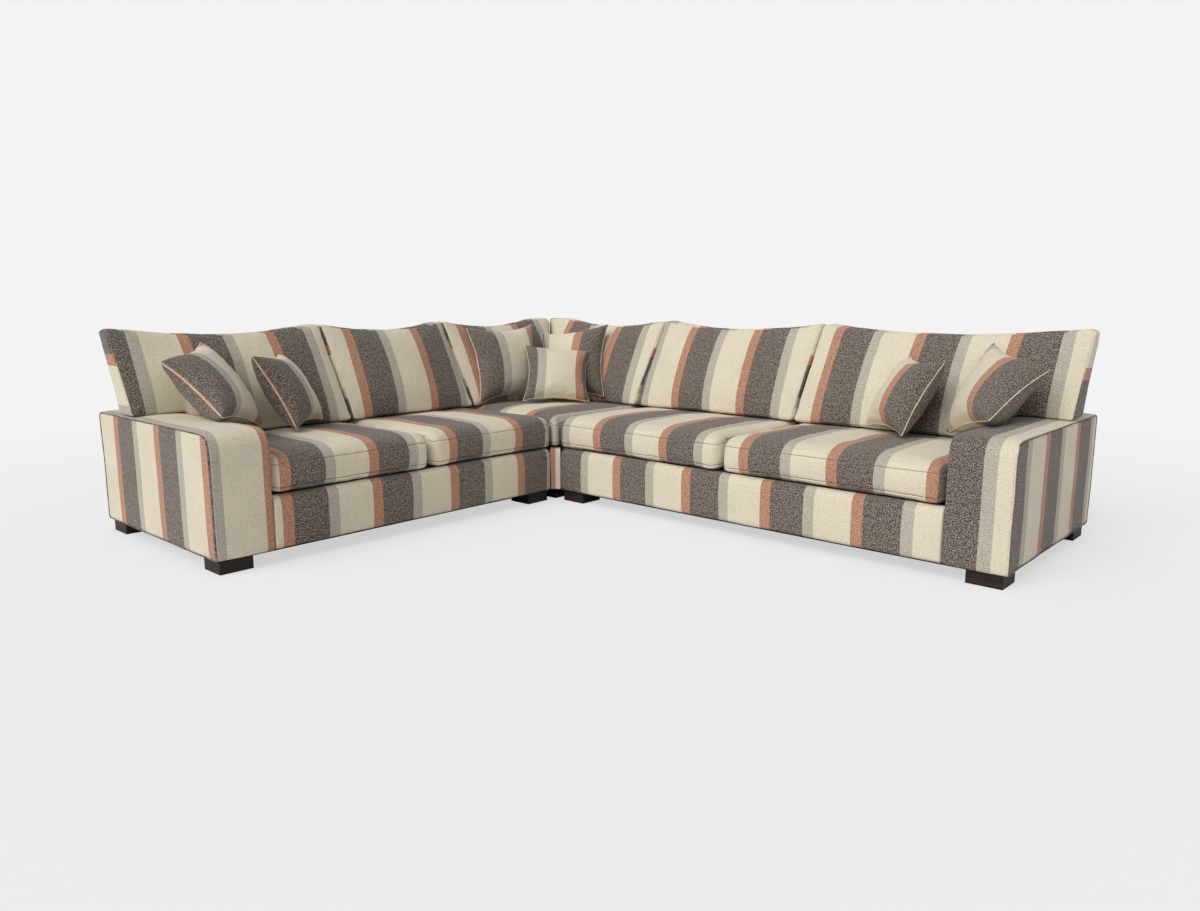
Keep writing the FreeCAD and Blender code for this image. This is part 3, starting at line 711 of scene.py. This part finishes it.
def nose(along, out, high):
    """The corner cushion's front corner, which fills the notch between its neighbours."""
    reach = SEAT_FRONT_ROUND
    across_corner = along - (high[0] - reach)
    out_of_corner = out - (high[1] - reach)
    inside = (across_corner > 0) & (out_of_corner > 0)
    far = np.maximum(np.hypot(across_corner, out_of_corner), 1e-9)
    longer = np.maximum(across_corner, out_of_corner) / far
    shorter = np.minimum(across_corner, out_of_corner) / far
    flare = 1 + SEAT_NOSE / reach * smooth(shorter / np.maximum(longer, 1e-9), 0.35, 0.85)
    wall = flare / np.maximum(longer, 1e-9)
    bevel = (2 * reach + SEAT_NOSE) / reach / np.maximum(longer + shorter, 1e-9)
    grow = np.where(inside, np.minimum(wall, bevel), 1)
    return high[0] - reach + across_corner * grow, high[1] - reach + out_of_corner * grow


def seat_cushion(node):
    run = run_of(node)
    low, high = in_run(run, node)
    size = high - low
    form = Form(steps(size[0], SEAT_SIDE_ROUND), steps(size[1], SEAT_FRONT_ROUND), seat_levels(size[2]))
    rest = low + form.shares * size
    edge_low = np.array([SEAT_SIDE_ROUND, SEAT_FRONT_ROUND, SEAT_BASE_ROUND])
    edge_high = np.array([SEAT_SIDE_ROUND, SEAT_FRONT_ROUND, SEAT_FRONT_ROUND])
    shaped = shrunk(rounded(rest, low, high, edge_low, edge_high), SEAT_INSET)
    fabric = box_fabric(form, rest, run, node)
    top = form.level(2, 1 - SEAT_TOP_SEAM / size[2])
    base = form.level(2, SEAT_LOW_SEAM / size[2])
    rings = [form.ring(2, top), form.ring(2, base)]

    def hold(points):
        """Sits on the deck, meets its neighbours flat, and is free in front and on top."""
        along, out, up = points.T
        along = under(over(along, low[0], SOFT), high[0], SOFT)
        out = under(over(out, low[1], SOFT), high[1] + SEAT_BULGE, 0.010)
        hung = smooth(out, high[1] - 0.035, high[1] + 0.005) * (1 - smooth(up, low[2], low[2] + 0.07))
        free = smooth(out, 0.42, 0.62)
        up = under(over(up, low[2], 0.004), high[2] + SEAT_CROWN * free, 0.010)
        if node == "corner_seat_cushion":
            along, out = nose(along, out, high)
        return columns(along, out, up - SEAT_SAG * hung)

    return Cushion(node, form, in_frame(run, shaped), rings, fabric, hold, 0.72, SEAT_SWELL, 1.6)


# Back cushions

def back_cushion(node):
    """The corner's two meet in a mitre, and each run's outer one is notched over the arm."""
    run = run_of(node)
    mitred = node.startswith("corner")
    notched = node.endswith("outer")
    low, high = in_run(run, node)
    rear_low = high[1] - BACK_DEPTH
    start = low[0]
    end = high[0]
    arm = arm_inner(run)
    box_low = np.array([start, 0.0, 0.0])
    box_high = np.array([end, BACK_DEPTH, high[2] - low[2]])
    size = box_high - box_low
    form = Form(steps(size[0], BACK_TOP_CORNER), steps(size[1], BACK_EDGE, 0.028),
                steps(size[2], BACK_TOP_CORNER))
    flat = box_low + form.shares * size
    edge = np.array([BACK_SIDE_EDGE, BACK_EDGE, BACK_EDGE])
    shaped = rounded(flat, box_low, box_high, edge, edge)
    for side, height, radius in ((start, size[2], BACK_TOP_CORNER), (end, size[2], BACK_TOP_CORNER),
                                 (start, 0.0, BACK_LOW_CORNER), (end, 0.0, BACK_LOW_CORNER)):
        shaped[:, 0], shaped[:, 2] = round_corner(shaped[:, 0], shaped[:, 2], (side, height), radius)

    def mitre(out, up):
        """Where the corner's two back cushions meet. At the top the right one reaches further."""
        shift = MITRE_SHIFT * np.clip((up - low[2]) / size[2], 0, 1)
        return out + (TOUCH + shift if run == "left" else TOUCH - shift)

    def lean(points):
        """Places in the upright cushion as places in the run: scooped, tapered and leaning."""
        along, depth, height = points.T
        share = height / size[2]
        middle = (start + end) / 2
        if mitred:
            middle = (rear_low + end) / 2
        from_middle = np.clip((along - middle) / (end - middle), -1, 1)
        top = high[2] + BACK_RISE - BACK_SCOOP * (1 - from_middle ** 2)
        bottom = np.full(len(along), low[2])
        if notched:
            bottom += (ARM_TOP - SEAT_TOP) * smooth(along, arm - 0.008, arm + 0.004)
        up = bottom + share * (top - bottom)
        thin = 1 - BACK_TAPER * np.clip((up - low[2]) / size[2], 0, 1) ** 1.4
        crown = BACK_CROWN * (1 - from_middle ** 2) * np.sin(math.pi * np.clip(share, 0, 1)) ** 0.7
        out = rear_low - (up - low[2]) * BACK_LEAN + depth * (thin + crown / BACK_DEPTH)
        if mitred:
            corner = mitre(out, up)
            along = corner + (along - start) / (end - start) * (end - corner)
        return columns(along, out, up)

    rest = lean(flat)
    fabric = box_fabric(form, rest, run, node, BACK_SIDE_STRIPE)
    upright = np.isin(form.sides, ("front", "rear"))
    fabric[upright, :, 1] = rest[form.faces][upright][..., 2]
    tilt = STRIPE_TILTS[node] * form.shares[form.faces][upright][..., 2]
    fabric[upright, :, 0] += tilt if run == "right" else -tilt
    front = form.level(1, 1 - BACK_EDGE / 3 / BACK_DEPTH)
    rear = form.level(1, BACK_EDGE / 3 / BACK_DEPTH)
    rings = [form.ring(1, front), form.ring(1, rear)]

    def hold(points):
        """Rests on its seat and against the sloping back, and meets its neighbours flat."""
        along, out, up = points.T
        rear_face = rear_low - (up - low[2]) * BACK_LEAN
        out = rear_face + over(out - rear_face, 0.0, SOFT)
        room = np.full(len(along), low[2])
        if notched:
            room += (ARM_TOP - SEAT_TOP) * smooth(along, arm - 0.014, arm - 0.002)
        up = room + over(up - room, 0.0, SOFT)
        up = under(up, high[2] + BACK_RISE, SOFT)
        nearest = mitre(out, up) if mitred else np.full(len(along), start)
        along = nearest + over(along - nearest, -TOUCH, 0.004)
        along = under(along, end + TOUCH, 0.004)
        return columns(along, out, up)

    start_points = in_frame(run, lean(shrunk(shaped, BACK_INSET)))
    return Cushion(node, form, start_points, rings, fabric, hold, 0.62, BACK_SWELL, 1.6)


def front_folds(node, run, points, seed):
    """Upright pulls in a seat's boxing, between its seams. Most of them run out halfway."""
    low, high = in_run(run, node)
    along, out, up = to_run(run, points).T
    band = smooth(up, low[2] + 0.030, low[2] + 0.050) * (1 - smooth(up, high[2] - 0.055, high[2] - 0.034))
    front = smooth(out, high[1] - 0.040, high[1] - 0.012)
    squeezed = columns(along, out * 0.1, up * 0.22)
    patches = smooth(ripple(squeezed, 0.34, seed + 1), -0.3, 0.9)
    return band * front * patches * ripple(squeezed, 0.032, seed) * SEAT_FOLD


def finish_cushion(cushion, points, seed):
    """Settles a swollen cushion in its place, creases its seams and smooths it. A seat's seam cords take
    the dark stripe all round, as painted shade along its seams.
    """
    run = run_of(cushion.node)
    move_points(cushion.piece.data, in_frame(run, cushion.hold(to_run(run, points))))
    sink_seams(cushion.piece.data, cushion.rings, SEAM_DEPTH)
    cloth = fabric_at_points(cushion.form, cushion.fabric)
    # Painted shade: a seat's seam cords get the dark stripe all round, so the seams read as dark shaded
    # lines
    if "seat" in cushion.node:
        cloth[:, 0] = IN_DARK

    def push(fine):
        uneven = ripple(fine, 0.16, seed) * 0.0016 + ripple(fine, 0.055, seed + 1) * 0.0007
        if "seat" in cushion.node:
            uneven += front_folds(cushion.node, run, fine, seed)
        return uneven

    cushion.finish(push, [cloth[ring] for ring in cushion.rings], SEAM_RADIUS)


# Scatter cushions

SCATTER_WIDTH = {"large": 0.440, "small": 0.375}
SCATTER_LOFT = {"large": 0.170, "small": 0.150}
SCATTER_EDGE = 0.004
SCATTER_DRAWN_IN = 0.125
SCATTER_EASE = 1.06
SCATTER_SWELL = 0.010
SCATTER_ROUNDING = 0.42
LIFT_OFF_SEAT = 0.004
LIFT_OFF_ARM = 0.003
PRESS_INTO_BACK = 0.020
CORD_RADIUS = 0.0023

# Each cushion's corners, as (along, out, up) in the right run: outer top, outer bottom,
# inner bottom and inner top. Then its size, and where a terracotta stripe starts,
# measured from the edge that the photo shows on its left.
SCATTERS = {
    "left_scatter_large": (((0.512, 2.762, 0.773), (0.823, 2.665, 0.560), (0.501, 2.336, 0.462),
                            (0.228, 2.461, 0.835)), "large", 0.368),
    "left_scatter_small": (((0.531, 2.386, 0.783), (0.671, 2.265, 0.452), (0.417, 1.985, 0.449),
                            (0.273, 2.117, 0.767)), "small", 0.368),
    "right_scatter_large": (((3.219, 0.484, 0.747), (3.108, 0.825, 0.570), (2.822, 0.477, 0.450),
                             (2.906, 0.227, 0.842)), "large", 0.263),
    "right_scatter_small": (((2.826, 0.529, 0.770), (2.711, 0.669, 0.452), (2.426, 0.417, 0.447),
                             (2.557, 0.272, 0.764)), "small", 0.195),
    "corner_scatter_left": (((0.251, 0.964, 0.863), (0.420, 1.011, 0.446), (0.467, 0.571, 0.448),
                             (0.317, 0.497, 0.872)), "large", -0.048),
    "corner_scatter_right": (((0.288, 0.397, 0.816), (0.429, 0.561, 0.446), (0.836, 0.431, 0.465),
                              (0.710, 0.251, 0.879)), "large", 0.265),
    "corner_scatter_front": (((0.423, 0.667, 0.762), (0.584, 0.840, 0.456), (0.844, 0.566, 0.447),
                              (0.695, 0.386, 0.725)), "small", 0.298),
}


def scatter_cushion(node):
    """Two square panels sewn round their edge: full in the middle, thin at the corners,
    with sides that are drawn in between them."""
    _, size, start = SCATTERS[node]
    width = SCATTER_WIDTH[size]
    spread = steps(1.0, 0.06, 0.045)
    form = Form(spread, spread, [0.0, 0.5, 1.0])
    a, b, side = (form.shares * 2 - 1).T
    full = np.clip((1 - a ** 2) * (1 - b ** 2), 0, 1) ** SCATTER_ROUNDING
    stuffed = columns(a * (1 - SCATTER_DRAWN_IN * (1 - b ** 2)) * width / 2,
                      b * (1 - SCATTER_DRAWN_IN * (1 - a ** 2)) * width / 2,
                      side * (SCATTER_EDGE + SCATTER_LOFT[size] * full) / 2)
    # The cloth lies over the rounding, so its stripes are measured along the curve
    line = spread * 2 - 1
    curve = np.stack([line * (1 - SCATTER_DRAWN_IN) * width / 2,
                      SCATTER_LOFT[size] * (1 - line ** 2) ** SCATTER_ROUNDING / 2])
    run_up = np.concatenate([[0], np.cumsum(np.linalg.norm(np.diff(curve), axis=0))])
    run_up *= width * SCATTER_EASE / run_up[-1]
    from_edge = np.interp(form.shares[:, :2], spread, run_up)[form.faces]
    fabric = np.zeros((*form.faces.shape, 3))
    fabric[..., 0] = from_edge[..., 0] - start
    if node.startswith("right"):
        fabric[..., 0] = run_up[-1] - from_edge[..., 0] - start
    fabric[..., 1] = from_edge[..., 1]
    rings = [form.ring(2, 1)]
    return Cushion(node, form, stuffed, rings, fabric, None, 0.55, SCATTER_SWELL, 2.0)


def cord_cloth(node, ring):
    """A piping cord cut from the cream stripe, with some terracotta at one end of a side."""
    per_side = len(ring) // 4
    share = (np.arange(len(ring)) % per_side) / per_side
    if node.startswith("right"):
        share = 1 - share
    cream_start = REPEAT - STRIPES[-1][1]
    across_cord = cream_start + 0.01 + share * STRIPES[-1][1]
    return columns(across_cord, share * 0.1, np.zeros(len(ring)))


def place_scatter(cushion, points, seed):
    """Bends a stuffed cushion onto its four corners and settles it on what carries it."""
    corners, size, _ = SCATTERS[cushion.node]
    a, b = (points[:, :2] / SCATTER_WIDTH[size] + 0.5).T[..., None]
    outer_top, outer_low, inner_low, inner_top = in_frame("right", np.array(corners))
    outer = b * outer_top + (1 - b) * outer_low
    inner = b * inner_top + (1 - b) * inner_low
    upward = (1 - a) * (outer_top - outer_low) + a * (inner_top - inner_low)
    facing = np.cross(inner - outer, upward)
    facing /= np.linalg.norm(facing, axis=1, keepdims=True)
    placed = (1 - a) * outer + a * inner + facing * points[:, 2:]
    move_points(cushion.piece.data, press_clear(placed))

    def push(fine):
        return ripple(fine, 0.11, seed) * 0.0018 + ripple(fine, 0.04, seed + 1) * 0.0008

    cushion.finish(push, [cord_cloth(cushion.node, ring) for ring in cushion.rings], CORD_RADIUS)


def press_clear(points):
    """Keeps a scatter cushion above the seat and the arm, and in front of the backs."""
    points = points.copy()
    points[:, 2] = over(points[:, 2], SEAT_TOP + LIFT_OFF_SEAT, 0.012)
    for run in ("left", "right"):
        along, out, up = to_run(run, points).T
        beside = along - arm_inner(run)
        sink = ARM_TOP + LIFT_OFF_ARM - up
        in_arm = (beside > 0) & (sink > 0)
        up = np.where(in_arm & (beside >= sink), ARM_TOP + LIFT_OFF_ARM, up)
        along = np.where(in_arm & (beside < sink), arm_inner(run) - 0.001, along)
        front = BACK_START + BACK_DEPTH - (up - SEAT_TOP) * BACK_LEAN
        out = front + over(out - front, -PRESS_INTO_BACK, PRESS_INTO_BACK)
        points = in_frame(run, columns(along, out, up))
    return points


# Arms, borders and backs: tight covers over the frames

COVER_SEAM_DEPTH = 0.0022
COVER_RIPPLE = 0.0012
CORD_SHOWING = 0.6
COVER_SWELL = 0.004


def tight_cover(node, form, shaped, run, fabric, rings, seed, radius=WELT_RADIUS,
                replaced=(), cloths=None):
    """Padding and cloth over a part of the frame, with a cord along each of its rings."""
    slot = "cover_fabric"
    piece = make_mesh(node + "_padding", in_frame(run, shaped), form.faces, fabric, FABRICS[slot])
    sink_seams(piece.data, rings, COVER_SEAM_DEPTH)
    subdivide(piece)
    push_out(piece.data, ripple(points_of(piece.data), 0.22, seed) * COVER_RIPPLE)
    dress_up(piece, [node, *replaced], "frame")
    if cloths is None:
        cloth = fabric_at_points(form, fabric)
        cloths = [cloth[ring] for ring in rings]
    add_welts(piece, rings, cloths, "frame", slot, radius, radius * CORD_SHOWING)


ARM_ROUND = 0.011
ARM_CORD = 0.0028
ARM_FRONT_ROUND = 0.074
ARM_REAR_ROUND = 0.025
ARM_SIDE_STARTS = {"left": 0.573, "right": 0.718}


def arm(run):
    """A padded arm: one band over its front and top, and a panel on each side."""
    node = run + "_arm_cover"
    low, high = in_run(run, node)
    size = high - low
    form = Form(steps(size[0], ARM_ROUND), steps(size[1], 0.04, 0.035), steps(size[2], 0.04, 0.035))
    rest = low + form.shares * size
    edge = np.full(3, ARM_ROUND)
    flat_base = edge * [1, 1, 0.2]
    shaped = rounded(rest, low, high, flat_base, edge)
    along, out, up = shaped.T
    out, up = round_corner(out, up, (high[1], high[2]), ARM_FRONT_ROUND)
    out, up = round_corner(out, up, (low[1], high[2]), ARM_REAR_ROUND)
    middle = 1 - ((form.shares[:, 0] - 0.5) * 2) ** 2
    top = form.shares[:, 2] > 0.999
    front = form.shares[:, 1] > 0.999
    up = np.where(top, up + COVER_SWELL * middle, up)
    out = np.where(front, out + COVER_SWELL * middle, out)
    shaped = columns(along, out, up)
    start = STRIPE_STARTS[node]
    corners = rest[form.faces]
    fabric = np.stack([across(run, start, corners[..., 0]), corners[..., 1] - corners[..., 2],
                       np.zeros(corners.shape[:2])], axis=-1)
    side = np.isin(form.sides, ("start", "end"))
    rising = 1 if run == "left" else -1
    fabric[side, :, 0] = rising * (corners[side][..., 1] - ARM_SIDE_STARTS[run])
    fabric[side, :, 1] = corners[side][..., 2]
    ring = form.ring(0, len(form.steps[0]) - 1)
    light_front = (rest[ring, 1] > high[1] - 0.001) & (run == "right")
    cord = columns(np.where(light_front, IN_CREAM, IN_DARK),
                   (rest[ring, 2] + rest[ring, 1]) * CORD_TWIST, np.zeros(len(ring)))
    tight_cover(node, form, shaped, run, fabric, [ring], 11 if run == "left" else 12,
                ARM_CORD, (run + "_arm_piping",), [cord])


BORDER_ROUND = 0.030
BORDER_END_ROUND = 0.004
BORDER_BELLY = 0.005


def border(run):
    node = run + "_front_border"
    low, high = in_run(run, node)
    size = high - low
    form = Form(steps(size[0], 0.012, 0.035), steps(size[1], 0.014, 0.012),
                steps(size[2], BORDER_ROUND, 0.03))
    rest = low + form.shares * size
    edge_high = np.array([BORDER_END_ROUND, BORDER_ROUND, BORDER_ROUND])
    shaped = rounded(rest, low, high, np.array([BORDER_END_ROUND, 0.002, 0.006]), edge_high)
    front = smooth(form.shares[:, 1], 0.5, 1.0)
    belly = 1 - ((form.shares[:, 2] - 0.5) * 2) ** 2
    shaped[:, 1] += BORDER_BELLY * front * belly
    fabric = box_fabric(form, rest, run, node)
    tight_cover(node, form, shaped, run, fabric, [], 21 if run == "left" else 22)


# How wide its cloth is, how far it reaches along each border, and how it narrows behind
POST_WIDTH = 0.052
POST_LEG = 0.037
POST_HOLLOW = 0.006
POST_TAPER = 0.9
POST_DEPTH = 0.045


def corner_post():
    """The padded strip in the inner corner, hollowed a little where the borders meet."""
    node = "corner_front_post"
    low, high = in_run("right", node)
    size = high - low
    form = Form(steps(1.0, 0.1, 0.2), [0.0, 0.5, 1.0], steps(size[2], 0.02, 0.03))
    share, depth, up = form.shares.T
    first = np.array([CORNER_END + POST_LEG, CORNER_END])
    line = first + share[:, None] * POST_LEG * np.array([-1, 1])
    hollow = POST_HOLLOW * np.sin(math.pi * share)
    front = line - hollow[:, None] / math.sqrt(2)
    back = CORNER_END - POST_DEPTH + (line - front.mean(axis=0)) * POST_TAPER
    plan = back + depth[:, None] * (front - back)
    shaped = columns(*plan.T, low[2] + up * size[2])
    fabric = np.zeros((*form.faces.shape, 3))
    fabric[..., 0] = (share[form.faces] - 0.5) * POST_WIDTH
    fabric[..., 1] = (up * size[2])[form.faces]
    tight_cover(node, form, shaped, "right", fabric, [], 31)


BACK_COVER_LOW = 0.035
BACK_COVER_PULL = 0.010
BACK_COVER_BELLY = 0.003


def back_cover(node):
    """The padded back behind the cushions, whose outside is the sofa's own back."""
    run = run_of(node)
    low, high = in_run(run, node)
    size = high - low
    heights = [low[2], low[2] + 0.01, 0.12, 0.19, DECK_TOP - 0.008, DECK_TOP, 0.33, 0.38, SEAT_TOP]
    heights += list(np.linspace(SEAT_TOP, high[2] - 0.02, 8)[1:]) + [high[2] - 0.01, high[2]]
    up_shares = (np.array(heights) - low[2]) / size[2]
    form = Form(steps(size[0], 0.012, 0.05), steps(1.0, 0.08, 0.2), up_shares)
    along, _, up = (low + form.shares * size).T
    shelf = smooth(up, DECK_TOP - 0.008, DECK_TOP)
    thick = BACK_COVER_LOW + (size[1] - BACK_COVER_LOW) * shelf
    thick = np.where(up > SEAT_TOP, size[1] - (up - SEAT_TOP) * BACK_LEAN, thick)
    pull = BACK_COVER_PULL * smooth(up, high[2] - 0.02, high[2])
    out = low[1] + pull + form.shares[:, 1] * (thick - 2 * pull)
    belly = np.sin(math.pi * form.shares[:, 0]) * np.sin(math.pi * form.shares[:, 2])
    out = np.where(form.shares[:, 1] < 0.001, out + BACK_COVER_BELLY * (1 - belly), out)
    if node.startswith("corner"):
        along = out + form.shares[:, 0] * (high[0] - out)
    shaped = columns(along, out, up)
    fabric = box_fabric(form, shaped, run, node)
    tight_cover(node, form, shaped, run, fabric, [form.ring(1, 0)], 41)


DECK_ROUND = 0.006


def deck(node):
    """The platform under the cushions, covered in dark cloth."""
    low, high = (np.array(corner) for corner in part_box(node))
    size = high - low
    form = Form(steps(size[0], 0.02, 0.06), steps(size[1], 0.02, 0.06), [0.0, 0.3, 0.7, 1.0])
    rest = low + form.shares * size
    if node == "corner_deck":
        # Less the corner that the post fills: the outer edge stays behind the border
        keep = size[0] - POST_DEPTH
        both = np.minimum(form.shares[:, 0] * size[0] - keep, (1 - form.shares[:, 1]) * size[1] - keep)
        push = np.clip(both, 0, None)
        rest[:, 0] -= push
        rest[:, 1] += push
    edge = np.full(3, DECK_ROUND)
    shaped = rounded(rest, low, high, edge, edge)
    fabric = rest[form.faces] * [1, 1, 0]
    piece = make_mesh(node + "_cloth", shaped, form.faces, fabric, DECK_CLOTH)
    subdivide(piece)
    dress_up(piece, [node], "frame")


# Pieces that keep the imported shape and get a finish

FOOT_BEVEL = 0.002
FINISHES = {"_foot_": FOOT_WOOD, "_frame": FRAME_WOOD, "dust_cover": DUST_CLOTH,
            "webbing": WEBBING, "foot_bolts": ZINC, "unit_connectors": ZINC}


def bevel_edges(node, width):
    modifier = node.modifiers.new("Bevel", "BEVEL")
    modifier.width = width
    modifier.segments = 2
    modifier.limit_method = "ANGLE"
    modifier.angle_limit = math.radians(40)


def finish_frame():
    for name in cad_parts:
        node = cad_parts[name]
        for part in [part for part in FINISHES if part in name]:
            node.data.materials.clear()
            node.data.materials.append(FINISHES[part])
            if part == "_foot_":
                bevel_edges(node, FOOT_BEVEL)


# The studio

# The floor takes on the background's colour between these distances, by these shares
BACKGROUND = srgb(243, 243, 243)
FLOOR_FADE = (2.2, 6.0)
FLOOR_GLOW = (0.66, 1.0)
FLOOR_REACH = 40.0
WORLD_STRENGTH = 0.45


def blend(tree, share, first, second, output):
    """Mixes two shaders by a share and sends the result to the output."""
    mixer = tree.nodes.new("ShaderNodeMixShader")
    for number, socket in enumerate((share, first, second)):
        tree.links.new(socket, mixer.inputs[number])
    tree.links.new(mixer.outputs[0], tree.nodes[output].inputs["Surface"])


def studio():
    floor_mesh = bpy.data.meshes.new("floor")
    corners = ((-1, -1), (1, -1), (1, 1), (-1, 1))
    floor_mesh.from_pydata([(x * FLOOR_REACH, y * FLOOR_REACH, 0) for x, y in corners],
                           [], [(0, 1, 2, 3)])
    floor = add_object("floor", floor_mesh)
    nodes = Nodes("floor")
    nodes.set(Base_Color=srgb(236, 236, 236), Roughness=0.9, Specular_IOR_Level=0.0)
    place = nodes.add("TexCoord").outputs["Object"]
    distance = nodes.fed(nodes.add("VectorMath", operation="LENGTH"), "Value", {0: place})
    far = nodes.spread(distance, *FLOOR_FADE, *FLOOR_GLOW)
    seen = nodes.add("LightPath").outputs["Is Camera Ray"]
    glow = nodes.fed(nodes.add("Emission"), 0, {"Color": BACKGROUND})
    share = nodes.math("MULTIPLY", far, seen)
    blend(nodes.tree, share, nodes.shader.outputs[0], glow, "Material Output")
    floor_mesh.materials.append(nodes.material)

    world = bpy.data.worlds.new("studio")
    bpy.context.scene.world = world
    world.use_nodes = True
    tree = world.node_tree
    surroundings = tree.nodes["Background"]
    surroundings.inputs["Color"].default_value = (1.0, 1.0, 1.0, 1.0)
    surroundings.inputs["Strength"].default_value = WORLD_STRENGTH
    backdrop = tree.nodes.new("ShaderNodeBackground")
    backdrop.inputs["Color"].default_value = BACKGROUND
    rays = tree.nodes.new("ShaderNodeLightPath")
    blend(tree, rays.outputs["Is Camera Ray"], surroundings.outputs[0], backdrop.outputs[0],
          "World Output")


# The direction from the sofa to the light, the light's spread in degrees, and its strength
SUN_TOWARDS = (-0.05, -0.75, 0.66)
SUN_SPREAD = 50.0
SUN_STRENGTH = 2.0


def sun():
    """A wide, soft light from far away."""
    data = bpy.data.lights.new("key", "SUN")
    data.angle = math.radians(SUN_SPREAD)
    data.energy = SUN_STRENGTH
    light = add_object("key", data)
    x, y, up = SUN_TOWARDS
    light.rotation_euler = (math.atan2(math.hypot(x, y), up), 0.0, math.atan2(x, -y))


# Fitted to the photo. The angles are in degrees and the lens is in millimetres
CAMERA_PLACE = (2.5973, -2.8360, 1.0198)
CAMERA_YAW = 41.99
CAMERA_DROP = 9.93
CAMERA_LENS = 26.763


def camera():
    data = bpy.data.cameras.new("camera")
    data.lens = CAMERA_LENS
    data.sensor_width = 36.0
    view = add_object("camera", data)
    view.location = CAMERA_PLACE
    view.rotation_euler = (math.radians(90 - CAMERA_DROP), 0.0, math.radians(CAMERA_YAW))
    bpy.context.scene.camera = view
    bpy.context.scene.view_settings.view_transform = "Standard"


def cushions():
    seats_and_backs = [seat_cushion(node) for node in STRIPE_STARTS if "seat_cushion" in node]
    seats_and_backs += [back_cushion(node) for node in STRIPE_STARTS if "back_cushion" in node]
    scatters = [scatter_cushion(node) for node in SCATTERS]
    results = simulate(seats_and_backs + scatters)
    for number, cushion in enumerate(seats_and_backs):
        finish_cushion(cushion, results[number], 100 + number * 2)
    for number, cushion in enumerate(scatters):
        place_scatter(cushion, results[len(seats_and_backs) + number], 200 + number * 2)


camera()
studio()
sun()
for side in ("left", "right"):
    arm(side)
    border(side)
corner_post()
for cover in STRIPE_STARTS:
    if cover.endswith("back_cover"):
        back_cover(cover)
for platform in ("left_deck", "corner_deck", "right_deck"):
    deck(platform)
cushions()
finish_frame()
